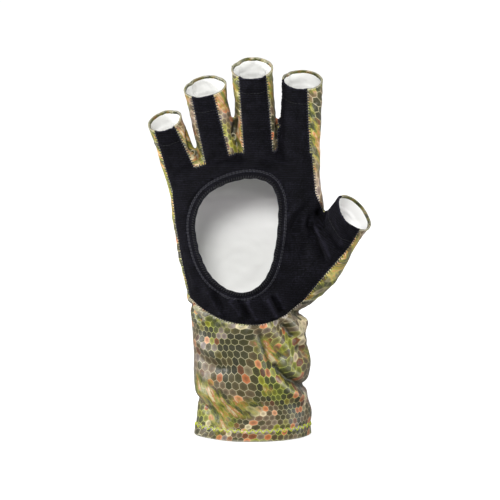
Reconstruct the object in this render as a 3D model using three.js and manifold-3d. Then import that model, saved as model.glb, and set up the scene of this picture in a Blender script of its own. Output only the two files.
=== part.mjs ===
// Fingerless fishing glove for the right hand, in its worn form.
// Millimetres, +Z up along the fingers, the palm faces -Y, the thumb points to +X.
// The origin is the middle of the cuff opening.
import * as THREE from "three";
import { mergeVertices } from "three/addons/utils/BufferGeometryUtils.js";
import Module from "manifold-3d";

const wasm = await Module();
wasm.setup();

// Driving sizes
const WALL = 1.2;
const GAP = 0.3;
const HEM_HEIGHT = 7;
const HEM_EXTRA = 0.35;
const BINDING_WIDTH = 5.2;
const BINDING_EXTRA = 0.35;
const WRIST_SEAM_HEIGHT = 84;
const SIDE_SEAM_FORWARD = 4;
const REACH = 90;
const CUTTER = 60;
const OVERRUN = 6;
const HAND_RISE = 173;
const HALF_BREADTH = 50;
const HALF_DEPTH = 20;
const FINGER_ROOT = 146;
const LONGEST_FINGER = 82.5;
const FINGER_HALF = 13;
const THUMB_HALF = 15;
const OPENING_X = -10;
const OPENING_Z = 126.6;
const OPENING_HALF_WIDTH = 25.4;
const OPENING_HALF_HEIGHT = 34.6;
const FOLD_HEIGHT = 1.6;
const FOLD_WIDTH = 4.6;
const OUTLINE_SIZES = { x: HALF_BREADTH, z: HAND_RISE };

// Cuff and hand, a row for each level: the left and right edge, the palm side and the back, as shares of the
// hand's rise, half breadth and half depth.
const BODY_SIZES = {
  z: HAND_RISE,
  left: HALF_BREADTH,
  right: HALF_BREADTH,
  front: HALF_DEPTH,
  back: HALF_DEPTH,
};
const BODY = sized([
  { z: 0, left: -0.724, right: 0.724, front: -1.15, back: 1.15 },
  { z: 0.04, left: -0.71, right: 0.726, front: -1.14, back: 1.14 },
  { z: 0.087, left: -0.706, right: 0.72, front: -1.13, back: 1.13 },
  { z: 0.127, left: -0.72, right: 0.68, front: -1.12, back: 1.12 },
  { z: 0.173, left: -0.74, right: 0.676, front: -1.11, back: 1.11 },
  { z: 0.22, left: -0.744, right: 0.704, front: -1.1, back: 1.1 },
  { z: 0.26, left: -0.736, right: 0.712, front: -1.08, back: 1.08 },
  { z: 0.306, left: -0.74, right: 0.68, front: -1.06, back: 1.06 },
  { z: 0.347, left: -0.748, right: 0.652, front: -1.05, back: 1.05 },
  { z: 0.393, left: -0.76, right: 0.668, front: -1.04, back: 1.04 },
  { z: 0.439, left: -0.784, right: 0.63, front: -1.04, back: 1.03 },
  { z: 0.486, left: -0.808, right: 0.64, front: -1.07, back: 1.01 },
  { z: 0.532, left: -0.832, right: 0.68, front: -1.11, back: 0.99 },
  { z: 0.578, left: -0.876, right: 0.732, front: -1.14, back: 0.96 },
  { z: 0.624, left: -0.912, right: 0.78, front: -1.15, back: 0.93 },
  { z: 0.671, left: -0.944, right: 0.82, front: -1.14, back: 0.905 },
  { z: 0.717, left: -0.968, right: 0.848, front: -1.11, back: 0.88 },
  { z: 0.763, left: -0.988, right: 0.868, front: -1.06, back: 0.86 },
  { z: 0.809, left: -1.008, right: 0.892, front: -1, back: 0.84 },
  { z: 0.855, left: -1.028, right: 0.872, front: -0.92, back: 0.79 },
  { z: 0.902, left: -1.048, right: 0.832, front: -0.83, back: 0.72 },
  { z: 0.942, left: -1.048, right: 0.82, front: -0.72, back: 0.63 },
  { z: 0.977, left: -0.98, right: 0.78, front: -0.58, back: 0.53 },
  { z: 1, left: -0.82, right: 0.72, front: -0.4, back: 0.4 },
], BODY_SIZES);
const BODY_STEPS = 27;
const BODY_SIDES = 34;
const BODY_SQUARENESS = 0.86;

// Finger tubes: x0 at the root in the hand and x1 at the opening, as shares of the half breadth.
// Then the length as a share of the longest finger's, and half width and half depth at both ends as shares of
// FINGER_HALF. slant is how far the opening leans to the palm side, in degrees.
const FINGER_SHARES = {
  little: {
    x0: -0.74, x1: -1.088, long: 0.606,
    half0: 0.985, half1: 0.8, deep0: 0.954, deep1: 0.723, slant: 23,
  },
  ring: {
    x0: -0.316, x1: -0.592, long: 0.861,
    half0: 0.892, half1: 0.977, deep0: 1.031, deep1: 0.8, slant: 21,
  },
  middle: {
    x0: 0.1, x1: -0.012, long: 1,
    half0: 0.985, half1: 0.954, deep0: 1.077, deep1: 0.831, slant: 21,
  },
  index: {
    x0: 0.548, x1: 0.602, long: 0.913,
    half0: 1.031, half1: 0.954, deep0: 1.046, deep1: 0.815, slant: 17,
  },
};
const FINGER_SIZES = {
  x0: HALF_BREADTH,
  x1: HALF_BREADTH,
  half0: FINGER_HALF,
  half1: FINGER_HALF,
  deep0: FINGER_HALF,
  deep1: FINGER_HALF,
};
const FINGERS = {};
for (const [name, row] of Object.entries(FINGER_SHARES)) {
  FINGERS[name] = { ...sized([row], FINGER_SIZES)[0], z1: FINGER_ROOT + row.long * LONGEST_FINGER };
}
const FINGER_STEPS = 6;
const FINGER_SIDES = 18;
const STRIP_BEND = 0.6;
const STRIP_RUN_ON = 1.2;
const LEAN_START = 150;
const LEAN_END = 230;
const LEAN_FORWARD = 12;
const LEAN_POWER = 1.6;
const LEAN_ROW = 12;
const TAPER_POWER = 0.7;

// Thumb tube, a row for each section along it, in the same shares, with its sizes as shares of THUMB_HALF.
const THUMB_SIZES = { x: HALF_BREADTH, y: HALF_DEPTH, z: HAND_RISE, half: THUMB_HALF, depth: THUMB_HALF };
const THUMB = sized([
  { x: 0.34, y: -0.05, z: 0.503, half: 1, depth: 1 },
  { x: 0.568, y: -0.1, z: 0.571, half: 1.24, depth: 1.12 },
  { x: 0.808, y: -0.225, z: 0.647, half: 1.207, depth: 1.053 },
  { x: 1.012, y: -0.4, z: 0.729, half: 1, depth: 0.893 },
  { x: 1.156, y: -0.525, z: 0.782, half: 0.9, depth: 0.8 },
  { x: 1.246, y: -0.6, z: 0.808, half: 0.88, depth: 0.747 },
], THUMB_SIZES);
const THUMB_SLANT = 17;
const THUMB_STEPS = 8;
const THUMB_SIDES = 20;

// Palm opening, its edge as shares of its half width and half height.
const OPENING_EDGE = [
  { across: 0.3, up: 1 },
  { across: 0.75, up: 0.93 },
  { across: 0.95, up: 0.71 },
  { across: 1, up: 0.42 },
  { across: 0.95, up: -0.08 },
  { across: 0.82, up: -0.54 },
  { across: 0.63, up: -0.81 },
  { across: 0.37, up: -0.96 },
  { across: 0.03, up: -1 },
  { across: -0.37, up: -0.88 },
  { across: -0.72, up: -0.62 },
  { across: -0.93, up: -0.24 },
  { across: -1, up: 0.24 },
  { across: -0.78, up: 0.65 },
  { across: -0.32, up: 0.89 },
];
const OPENING_SIDES = 36;
const SHARPEST = 0.4;

// Seam between the palm and the cuff, from the little finger side to the thumb side, in shares of the half
// breadth and the hand's rise, as the two outlines after it are.
const WRIST_EDGE = sized([
  { x: -0.78, z: 0.499 },
  { x: -0.608, z: 0.464 },
  { x: -0.452, z: 0.438 },
  { x: -0.26, z: 0.421 },
  { x: 0, z: 0.412 },
  { x: 0.174, z: 0.418 },
  { x: 0.348, z: 0.437 },
  { x: 0.468, z: 0.458 },
  { x: 0.62, z: 0.494 },
], OUTLINE_SIZES);
// The palm's edge from the thumb up to the index, along the crotches, and down the little finger side.
const PALM_EDGE = sized([
  { x: 0.844, z: 0.576 },
  { x: 0.96, z: 0.616 },
  { x: 0.96, z: 0.821 },
  { x: 0.87, z: 0.832 },
  { x: 0.736, z: 0.871 },
  { x: 0.72, z: 1.017 },
  { x: 0.296, z: 1.026 },
  { x: -0.216, z: 1.017 },
  { x: -0.674, z: 0.971 },
  { x: -0.98, z: 0.936 },
  { x: -0.992, z: 0.867 },
  { x: -0.948, z: 0.751 },
  { x: -0.88, z: 0.636 },
], OUTLINE_SIZES);
// The thumb's black side: the seam along its outer edge, then round its tip and the crotch.
const THUMB_EDGE = sized([
  { x: 0.4, z: 0.451 },
  { x: 0.62, z: 0.494 },
  { x: 0.844, z: 0.576 },
  { x: 1.012, z: 0.632 },
  { x: 1.172, z: 0.687 },
  { x: 1.312, z: 0.757 },
  { x: 1.48, z: 0.844 },
  { x: 1.04, z: 0.96 },
  { x: 0.68, z: 0.821 },
  { x: 0.28, z: 0.694 },
], OUTLINE_SIZES);
// How far the black reaches to each side of a finger's axis, as shares of the tube's half width.
const STRIPS = [
  { finger: "little", leftBase: -0.8, rightBase: 0.8, leftTip: -0.7, rightTip: 0.46 },
  { finger: "ring", leftBase: -0.72, rightBase: 0.68, leftTip: -0.7, rightTip: 0.34 },
  { finger: "middle", leftBase: -0.66, rightBase: 0.76, leftTip: -0.68, rightTip: 0.66 },
  { finger: "index", leftBase: -1.3, rightBase: 0.68, leftTip: -1.3, rightTip: 0.2 },
];

// Strips between two fingers, running down the side of one and up the side of the next.
const WEBS = sized([
  { name: "fourchette_little_ring", left: "little", right: "ring", foot: 0.948 },
  { name: "fourchette_ring_middle", left: "ring", right: "middle", foot: 0.988 },
  { name: "fourchette_middle_index", left: "middle", right: "index", foot: 0.988 },
], { foot: HAND_RISE });
const WEB_SIDE = 0.1;
const WEB_BACK = 3.5;
const WEB_TOP = 1.4;

// Folds of the cloth: a ridge (or a dent, where the height is less than nothing) from one point to another.
// They fade out over FOLD_FADE from the palm side to the middle of the hand.
const FOLD_FADE = 8;
const FOLD_SIDEWAYS = 0.5;
const FOLD_SIZES = {
  x0: HALF_BREADTH,
  x1: HALF_BREADTH,
  z0: HAND_RISE,
  z1: HAND_RISE,
  height: FOLD_HEIGHT,
  width: FOLD_WIDTH,
};
const FOLDS = sized([
  { x0: -0.56, z0: 0.561, x1: -0.4, z1: 0.457, height: 0.938, width: 0.913 },
  { x0: -0.34, z0: 0.532, x1: -0.14, z1: 0.434, height: 1.062, width: 0.913 },
  { x0: -0.08, z0: 0.514, x1: 0.1, z1: 0.422, height: 1, width: 0.913 },
  { x0: 0.16, z0: 0.532, x1: 0.32, z1: 0.451, height: 0.938, width: 0.913 },
  { x0: 0.5, z0: 0.844, x1: 0.46, z1: 0.671, height: -1.125, width: 1.087 },
  { x0: 0.62, z0: 0.809, x1: 0.72, z1: 0.682, height: 0.875, width: 1 },
  { x0: 0.84, z0: 0.786, x1: 0.92, z1: 0.636, height: -1.25, width: 1 },
  { x0: 0.3, z0: 0.382, x1: 0.68, z1: 0.301, height: 1.125, width: 1.087 },
  { x0: 0.28, z0: 0.306, x1: 0.66, z1: 0.208, height: -1, width: 1.087 },
  { x0: 0.32, z0: 0.22, x1: 0.68, z1: 0.127, height: 1.062, width: 1.087 },
  { x0: -0.76, z0: 0.358, x1: -0.4, z1: 0.289, height: 0.75, width: 1.087 },
  { x0: -0.74, z0: 0.173, x1: -0.36, z1: 0.127, height: 0.688, width: 1.087 },
], FOLD_SIZES);

const BLACK_KNIT = { color: 0x131318, roughness: 0.86, metalness: 0 };
const PRINTED_KNIT = { color: 0x7d7a5c, roughness: 0.62, metalness: 0 };
const DARK_HEM = { color: 0x17171c, roughness: 0.8, metalness: 0 };
const PRINTED_HEM = { color: 0x8a8468, roughness: 0.66, metalness: 0 };

// The rows of a table with the shares in its columns turned into sizes.
function sized(rows, sizes) {
  return rows.map((row) => {
    const made = { ...row };
    for (const [column, size] of Object.entries(sizes)) {
      made[column] = row[column] * size;
    }
    return made;
  });
}

// A closed mesh as a solid.
function solidOf(geometry) {
  const bare = geometry.index ? geometry.toNonIndexed() : geometry.clone();
  bare.deleteAttribute("normal");
  bare.deleteAttribute("uv");
  const merged = mergeVertices(bare, 1e-4);
  return new wasm.Manifold(
    new wasm.Mesh({
      numProp: 3,
      vertProperties: new Float32Array(merged.attributes.position.array),
      triVerts: new Uint32Array(merged.index.array),
    }),
  );
}

// A solid as a named mesh.
function meshOf(solid, name, finish) {
  const made = solid.getMesh();
  const points = new Float32Array(made.numVert * 3);
  for (let i = 0; i < made.numVert; i += 1) {
    points.set(made.vertProperties.subarray(i * made.numProp, i * made.numProp + 3), i * 3);
  }
  const geometry = new THREE.BufferGeometry();
  geometry.setAttribute("position", new THREE.BufferAttribute(points, 3));
  geometry.setIndex(new THREE.BufferAttribute(new Uint32Array(made.triVerts), 1));
  geometry.computeVertexNormals();
  const mesh = new THREE.Mesh(geometry, new THREE.MeshStandardMaterial(finish));
  mesh.name = name;
  return mesh;
}

// A closed skin through rings of points, with a fan over each end.
function loft(rings) {
  const sides = rings[0].length;
  const points = rings.flat();
  const faces = [];
  for (let r = 0; r + 1 < rings.length; r += 1) {
    for (let s = 0; s < sides; s += 1) {
      const a = r * sides + s;
      const b = r * sides + ((s + 1) % sides);
      faces.push(a, b, b + sides, a, b + sides, a + sides);
    }
  }
  const middleOf = (ring) => {
    const middle = new THREE.Vector3();
    ring.forEach((p) => middle.add(p));
    return middle.divideScalar(ring.length);
  };
  const first = points.length;
  points.push(middleOf(rings[0]));
  const last = points.length;
  points.push(middleOf(rings[rings.length - 1]));
  const top = (rings.length - 1) * sides;
  for (let s = 0; s < sides; s += 1) {
    const next = (s + 1) % sides;
    faces.push(first, next, s);
    faces.push(last, top + s, top + next);
  }
  const geometry = new THREE.BufferGeometry().setFromPoints(points);
  geometry.setIndex(faces);
  return solidOf(geometry);
}

// A column of a table at a place between its rows, smoothly.
function readRow(rows, key, column, at) {
  let i = 0;
  while (i + 2 < rows.length && rows[i + 1][key] < at) {
    i += 1;
  }
  const low = rows[i];
  const high = rows[i + 1];
  const share = Math.min(1, Math.max(0, (at - low[key]) / (high[key] - low[key])));
  return THREE.MathUtils.lerp(low[column], high[column], share);
}

// Height of the folds at a place on the palm side, faded out towards the back.
function foldAt(x, y, z) {
  let height = 0;
  for (const fold of FOLDS) {
    const alongX = fold.x1 - fold.x0;
    const alongZ = fold.z1 - fold.z0;
    const length = Math.hypot(alongX, alongZ);
    const share = ((x - fold.x0) * alongX + (z - fold.z0) * alongZ) / (length * length);
    const held = Math.min(1, Math.max(0, share));
    const away = Math.hypot(x - fold.x0 - held * alongX, z - fold.z0 - held * alongZ);
    height += fold.height * Math.exp(-((away / fold.width) ** 2));
  }
  return height * THREE.MathUtils.smoothstep(-y, 0, FOLD_FADE);
}

// Rounded section of the hand at a level, set in from the outside by inset.
function bodyRing(z, level, inset) {
  const left = readRow(BODY, "z", "left", level) + inset;
  const right = readRow(BODY, "z", "right", level) - inset;
  const front = readRow(BODY, "z", "front", level) + inset;
  const back = readRow(BODY, "z", "back", level) - inset;
  const ring = [];
  for (let s = 0; s < BODY_SIDES; s += 1) {
    const turn = (2 * Math.PI * s) / BODY_SIDES;
    const across = Math.sign(Math.cos(turn)) * Math.abs(Math.cos(turn)) ** BODY_SQUARENESS;
    const deep = Math.sign(Math.sin(turn)) * Math.abs(Math.sin(turn)) ** BODY_SQUARENESS;
    const x = (left + right) / 2 + (across * (right - left)) / 2;
    const y = (front + back) / 2 + (deep * (back - front)) / 2;
    const lift = foldAt(x, y, z);
    ring.push(new THREE.Vector3(x + lift * across * FOLD_SIDEWAYS, y + lift * deep, z));
  }
  return ring;
}

// The hand and cuff, from a level up to the top, set in by inset; below and above it runs on by more.
function body(inset, from, below) {
  const top = BODY[BODY.length - 1].z;
  const rings = [];
  if (below > 0) {
    rings.push(bodyRing(from - below, from, inset));
  }
  for (let i = 0; i <= BODY_STEPS; i += 1) {
    const z = THREE.MathUtils.lerp(from, top - inset, i / BODY_STEPS);
    rings.push(bodyRing(z, z, inset));
  }
  return loft(rings);
}

// How far a finger has leant to the palm side at a height.
function leanAt(z) {
  const share = Math.max(0, (z - LEAN_START) / (LEAN_END - LEAN_START));
  return -LEAN_FORWARD * share ** LEAN_POWER;
}

// Sections along an axis: an oval across each place, half wide and deep, set in by inset.
function tube(axis, sizes, sides, inset) {
  const rings = axis.map((place, i) => {
    const before = axis[Math.max(0, i - 1)];
    const after = axis[Math.min(axis.length - 1, i + 1)];
    const along = after.clone().sub(before).normalize();
    const across = new THREE.Vector3(0, 1, 0).cross(along).normalize();
    const deep = along.clone().cross(across).normalize();
    const ring = [];
    for (let s = 0; s < sides; s += 1) {
      const turn = (2 * Math.PI * s) / sides;
      ring.push(
        place
          .clone()
          .addScaledVector(across, Math.cos(turn) * (sizes[i].half - inset))
          .addScaledVector(deep, Math.sin(turn) * (sizes[i].depth - inset)),
      );
    }
    return ring;
  });
  return loft(rings);
}

// A finger's axis and sizes, run on past its opening by more.
function fingerLine(finger, more) {
  const axis = [];
  const sizes = [];
  for (let i = 0; i <= FINGER_STEPS; i += 1) {
    const share = i / FINGER_STEPS;
    const z = THREE.MathUtils.lerp(FINGER_ROOT, finger.z1, share);
    const x = THREE.MathUtils.lerp(finger.x0, finger.x1, share);
    axis.push(new THREE.Vector3(x, leanAt(z), z));
    sizes.push({
      half: THREE.MathUtils.lerp(finger.half0, finger.half1, share),
      depth: THREE.MathUtils.lerp(finger.deep0, finger.deep1, share ** TAPER_POWER),
    });
  }
  const end = axis[axis.length - 1];
  const along = end.clone().sub(axis[axis.length - 2]).normalize();
  axis.push(end.clone().addScaledVector(along, more));
  sizes.push(sizes[sizes.length - 1]);
  return { axis, sizes, sides: FINGER_SIDES, end, along, slant: finger.slant };
}

// The thumb's axis and sizes, smoothed between its rows.
function thumbLine(more) {
  const places = new THREE.CatmullRomCurve3(THUMB.map((row) => new THREE.Vector3(row.x, row.y, row.z)));
  const widths = new THREE.SplineCurve(THUMB.map((row) => new THREE.Vector2(row.half, row.depth)));
  const axis = [];
  const sizes = [];
  for (let i = 0; i <= THUMB_STEPS; i += 1) {
    const size = widths.getPoint(i / THUMB_STEPS);
    axis.push(places.getPoint(i / THUMB_STEPS));
    sizes.push({ half: size.x, depth: size.y });
  }
  const end = axis[axis.length - 1];
  const along = end.clone().sub(axis[axis.length - 2]).normalize();
  axis.push(end.clone().addScaledVector(along, more));
  sizes.push(sizes[sizes.length - 1]);
  return { axis, sizes, sides: THUMB_SIDES, end, along, slant: THUMB_SLANT };
}

// A block across a tube, from one distance short of its opening to another past it.
function blockAcross(line, from, to) {
  const slant = THREE.MathUtils.degToRad(line.slant);
  const facing = line.along.clone().multiplyScalar(Math.cos(slant));
  facing.addScaledVector(new THREE.Vector3(0, -1, 0), Math.sin(slant)).normalize();
  const block = new THREE.BoxGeometry(CUTTER, CUTTER, to - from);
  block.translate(0, 0, (from + to) / 2);
  block.applyQuaternion(new THREE.Quaternion().setFromUnitVectors(new THREE.Vector3(0, 0, 1), facing));
  block.translate(line.end.x, line.end.y, line.end.z);
  return solidOf(block);
}

// A prism over an outline in X and Z, between two depths.
function prism(rows, front, back) {
  const shape = new THREE.Shape(rows.map((row) => new THREE.Vector2(row.x, row.z)));
  const made = new THREE.ExtrudeGeometry(shape, { depth: back - front, bevelEnabled: false });
  made.rotateX(Math.PI / 2);
  made.translate(0, back, 0);
  return solidOf(made);
}

// An outline with every edge moved out by a distance.
function grown(rows, distance) {
  const area = rows.reduce((sum, a, i) => {
    const b = rows[(i + 1) % rows.length];
    return sum + a.x * b.z - b.x * a.z;
  }, 0);
  const out = Math.sign(area) * distance;
  return rows.map((row, i) => {
    const before = rows[(i + rows.length - 1) % rows.length];
    const after = rows[(i + 1) % rows.length];
    const first = new THREE.Vector2(row.z - before.z, before.x - row.x).normalize();
    const second = new THREE.Vector2(after.z - row.z, row.x - after.x).normalize();
    const middle = first.clone().add(second).normalize();
    const reach = out / Math.max(SHARPEST, middle.dot(first));
    return { x: row.x + middle.x * reach, z: row.z + middle.y * reach };
  });
}

// The palm opening's edge, moved out by a distance.
function openingEdge(distance) {
  const rows = OPENING_EDGE.map(
    (row) =>
      new THREE.Vector3(
        OPENING_X + row.across * OPENING_HALF_WIDTH,
        0,
        OPENING_Z + row.up * OPENING_HALF_HEIGHT,
      ),
  );
  const curve = new THREE.CatmullRomCurve3(rows, true);
  return grown(curve.getSpacedPoints(OPENING_SIDES).slice(0, -1), distance);
}

// Everything in front of the seams at the sides of the hand and fingers.
function frontHalf(distance) {
  const rows = [
    new THREE.Vector2(-REACH, 0),
    new THREE.Vector2(-SIDE_SEAM_FORWARD + distance, 0),
    new THREE.Vector2(-SIDE_SEAM_FORWARD + distance, LEAN_START - LEAN_ROW),
  ];
  for (let z = LEAN_START; z <= LEAN_END + 2 * LEAN_ROW; z += LEAN_ROW) {
    rows.push(new THREE.Vector2(leanAt(z) + distance, z));
  }
  rows.push(new THREE.Vector2(-REACH, rows[rows.length - 1].y));
  const made = new THREE.ExtrudeGeometry(new THREE.Shape(rows), { depth: 2 * REACH, bevelEnabled: false });
  made.rotateX(Math.PI / 2);
  made.rotateZ(Math.PI / 2);
  made.translate(-REACH, 0, 0);
  return solidOf(made);
}

// Everything in front of the thumb's axis.
function thumbFront(distance) {
  const rows = [new THREE.Vector2(0, -REACH), new THREE.Vector2(0, THUMB[0].y + distance)];
  for (const row of THUMB) {
    rows.push(new THREE.Vector2(row.x, row.y + distance));
  }
  rows.push(new THREE.Vector2(REACH, THUMB[THUMB.length - 1].y + distance));
  rows.push(new THREE.Vector2(REACH, -REACH));
  const made = new THREE.ExtrudeGeometry(new THREE.Shape(rows), { depth: 3 * REACH, bevelEnabled: false });
  return solidOf(made);
}

// The black strip up one finger.
function stripOutline(strip) {
  const finger = FINGERS[strip.finger];
  const rise = finger.z1 - FINGER_ROOT;
  const slope = Math.hypot(finger.x1 - finger.x0, rise) / rise;
  const at = (share, side) => {
    const kept = Math.min(1, share);
    const half = THREE.MathUtils.lerp(finger.half0, finger.half1, kept) * slope;
    return {
      x: THREE.MathUtils.lerp(finger.x0, finger.x1, share) + side * half,
      z: THREE.MathUtils.lerp(FINGER_ROOT, finger.z1, share),
    };
  };
  return [
    at(0, strip.leftBase),
    at(0, strip.rightBase),
    at(STRIP_BEND, THREE.MathUtils.lerp(strip.rightBase, strip.rightTip, STRIP_BEND)),
    at(1, strip.rightTip),
    at(STRIP_RUN_ON, strip.rightTip),
    at(STRIP_RUN_ON, strip.leftTip),
    at(1, strip.leftTip),
  ];
}

// The part of the cloth that is black palm, its edges moved out by a distance.
function palmRegion(distance) {
  const palm = [...WRIST_EDGE, ...PALM_EDGE];
  let region = prism(grown(palm, distance), -REACH, 0);
  for (const strip of STRIPS) {
    region = region.add(prism(grown(stripOutline(strip), distance), -REACH, REACH));
  }
  const thumb = prism(grown(THUMB_EDGE, distance), -REACH, REACH).intersect(thumbFront(distance));
  return region.intersect(frontHalf(distance)).add(thumb);
}

// The strip of cloth between two fingers.
function webRegion(web, distance) {
  const left = FINGERS[web.left];
  const right = FINGERS[web.right];
  const beside = (finger, side, share) => {
    const half = THREE.MathUtils.lerp(finger.half0, finger.half1, Math.min(1, share));
    return {
      x: THREE.MathUtils.lerp(finger.x0, finger.x1, share) + side * WEB_SIDE * half,
      z: THREE.MathUtils.lerp(FINGER_ROOT, finger.z1, share),
    };
  };
  const leftFoot = beside(left, 1, (web.foot - FINGER_ROOT) / (left.z1 - FINGER_ROOT));
  const rightFoot = beside(right, -1, (web.foot - FINGER_ROOT) / (right.z1 - FINGER_ROOT));
  const outline = [leftFoot, rightFoot, beside(right, -1, WEB_TOP), beside(left, 1, WEB_TOP)];
  const deep = frontHalf(WEB_BACK + SIDE_SEAM_FORWARD + distance);
  return prism(grown(outline, distance), -REACH, REACH).intersect(deep);
}

// An outline that takes in everything under a level.
function below(level) {
  return [
    { x: -REACH, z: -OVERRUN },
    { x: -REACH, z: level },
    { x: REACH, z: level },
    { x: REACH, z: -OVERRUN },
  ];
}

// The part of the cloth that is cuff.
function cuffRegion(distance) {
  const [footLeft, left, right, footRight] = below(WRIST_SEAM_HEIGHT);
  const edgeEnd = { x: WRIST_EDGE[WRIST_EDGE.length - 1].x + HEM_HEIGHT, z: WRIST_SEAM_HEIGHT };
  const front = [footLeft, left, ...WRIST_EDGE, edgeEnd, right, footRight];
  const back = [footLeft, left, right, footRight];
  const middle = -SIDE_SEAM_FORWARD;
  return prism(grown(front, distance), -REACH, middle).add(prism(grown(back, distance), middle, REACH));
}

const fingerNames = Object.keys(FINGERS);
const lineOf = (name, more) => (name === "thumb" ? thumbLine(more) : fingerLine(FINGERS[name], more));
const openings = [...fingerNames, "thumb"];

// Solid hand form, and the same set in by the wall and run on out of every opening.
let outside = body(0, HEM_HEIGHT + GAP, 0);
let inside = body(WALL, HEM_HEIGHT + GAP, OVERRUN);
for (const name of openings) {
  const line = lineOf(name, OVERRUN);
  const end = blockAcross(line, 0, CUTTER / 2);
  outside = outside.add(tube(line.axis, line.sizes, line.sides, 0).subtract(end));
  inside = inside.add(tube(line.axis, line.sizes, line.sides, WALL));
}
const shell = outside.subtract(inside);

const hole = prism(openingEdge(0), -REACH, 0);
const bindingOutline = prism(openingEdge(BINDING_WIDTH), -REACH, 0);
const bindingClear = prism(openingEdge(BINDING_WIDTH + GAP), -REACH, 0);
const thickInside = body(WALL + BINDING_EXTRA, HEM_HEIGHT, OVERRUN);
const thickHand = body(-BINDING_EXTRA, HEM_HEIGHT, 0).subtract(thickInside);

const halfGap = GAP / 2;
const cuffCloth = shell.intersect(cuffRegion(-halfGap));
const handCloth = shell.subtract(cuffRegion(halfGap));
const palmCloth = handCloth.intersect(palmRegion(-halfGap)).subtract(bindingClear);
const printedCloth = handCloth.subtract(palmRegion(halfGap));
let backCloth = printedCloth;
const webs = WEBS.map((web) => {
  backCloth = backCloth.subtract(webRegion(web, halfGap));
  return { name: web.name, cloth: printedCloth.intersect(webRegion(web, -halfGap)) };
});
const binding = thickHand.intersect(bindingOutline).subtract(hole);
const hem = body(-HEM_EXTRA, 0, 0)
  .subtract(body(WALL + HEM_EXTRA, 0, OVERRUN))
  .intersect(prism(below(HEM_HEIGHT), -REACH, REACH));

const glove = new THREE.Group();
glove.add(meshOf(cuffCloth, "cuff", PRINTED_KNIT));
glove.add(meshOf(hem, "cuff_hem", PRINTED_HEM));
glove.add(meshOf(palmCloth, "palm_panel", BLACK_KNIT));
glove.add(meshOf(binding, "palm_opening_binding", DARK_HEM));
glove.add(meshOf(backCloth, "back_panel", PRINTED_KNIT));
for (const web of webs) {
  glove.add(meshOf(web.cloth, web.name, PRINTED_KNIT));
}

export default glove;
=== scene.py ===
"""Fingerless fishing glove for the right hand: its cloth panels, seams, stitches and finishes.

Sizes are in millimetres in the tables, and metres in the scene. +Z runs up along the fingers, the palm faces
-Y and the thumb points to +X. The origin is the middle of the cuff opening.
"""

from __future__ import annotations

import logging
import math
from dataclasses import dataclass, field
from enum import Enum
from typing import Callable, NamedTuple, Sequence

import bmesh
import bpy
import numpy as np
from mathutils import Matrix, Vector, noise
from mathutils.bvhtree import BVHTree


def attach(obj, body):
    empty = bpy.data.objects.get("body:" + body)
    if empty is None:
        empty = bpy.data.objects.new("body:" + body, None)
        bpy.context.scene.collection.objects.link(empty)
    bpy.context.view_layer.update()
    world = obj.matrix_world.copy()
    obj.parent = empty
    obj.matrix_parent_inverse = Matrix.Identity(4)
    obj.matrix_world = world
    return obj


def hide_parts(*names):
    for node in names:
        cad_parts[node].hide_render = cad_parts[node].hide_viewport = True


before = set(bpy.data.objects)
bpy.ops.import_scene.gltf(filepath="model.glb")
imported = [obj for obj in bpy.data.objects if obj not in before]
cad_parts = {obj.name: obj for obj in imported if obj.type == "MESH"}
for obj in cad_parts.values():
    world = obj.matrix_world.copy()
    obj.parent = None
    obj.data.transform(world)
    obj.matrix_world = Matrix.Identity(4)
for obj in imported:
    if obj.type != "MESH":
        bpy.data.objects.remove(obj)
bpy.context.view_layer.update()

log = logging.getLogger("glove")

Triple = tuple[float, float, float]
Stops = tuple[tuple[float, Triple], ...]

MM = 0.001
FAR = 60.0
HEM_HEIGHT = 7.0
BINDING_WIDTH = 5.2
WRIST_SEAM_HEIGHT = 84.0
SIDE_SEAM_FORWARD = 4.0
FINGER_ROOT = 146.0
FINGERS_ABOVE = 160.0
FINGER_SHARES = 6
THUMB_RIGHT_OF = 46.0
THUMB_BELOW = 172.0
LEAN_START = 150.0
LEAN_RISE = 80.0
LEAN_FORWARD = 12.0
LEAN_POWER = 1.6
TAPER_POWER = 0.7
SQUARENESS = 0.86
RUN_ON = 8.0
THUMB_SLANT = 17.0
OPENING_HEM = 9.0
EDGE_DIP = 1.4
OPENING_TURN = 1.7
ROUND_HALF = (39.0, 20.5)
CUFF_TURN = math.radians(163.0)
FINGER_ROUND = 12.6
THUMB_MIDDLE = (40.4, -4.5, 112.0)
THUMB_ALONG = (21.8, -7.5, 28.0)
THUMB_ROUND = 14.0
UV_SCALE = 100.0


class Level(NamedTuple):
    """A section of the hand and cuff: its height and its four edges."""

    z: float
    left: float
    right: float
    front: float
    back: float


class Section(NamedTuple):
    """A section of the thumb: its middle, half width and half depth."""

    x: float
    y: float
    z: float
    half: float
    deep: float


class Strip(NamedTuple):
    """The black strip up a finger, in shares of the half width each side of the finger's axis."""

    finger: str
    left_base: float
    right_base: float
    left_tip: float
    right_tip: float


class Web(NamedTuple):
    """The strip of cloth between two fingers and the height of its foot."""

    name: str
    left: str
    right: str
    foot: float


class Facing(Enum):
    """The side of the hand that a fold lies on."""

    PALM = -1
    BACK = 1
    BOTH = 0


PALM, BACK, BOTH = Facing


class Fold(NamedTuple):
    """A ridge, or a valley where height is below nothing, along a course of (x, z) places."""

    facing: Facing
    height: float
    width: float
    course: tuple[tuple[float, float], ...]


class Lump(NamedTuple):
    """A local swelling of the cloth, or a dent."""

    x: float
    y: float
    z: float
    reach: float
    height: float


class Wave(NamedTuple):
    """Small smooth waves: their height, their length along each axis and the seed of their noise."""

    height: float
    stretch: Triple
    seed: float

    def over(self, points: np.ndarray, mask: np.ndarray) -> np.ndarray:
        """The waves at each point, as strong as mask says there."""
        scaled = points / np.array(self.stretch) + self.seed
        return mask * self.height * np.array([noise.noise(Vector(row)) for row in scaled.tolist()])


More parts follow.
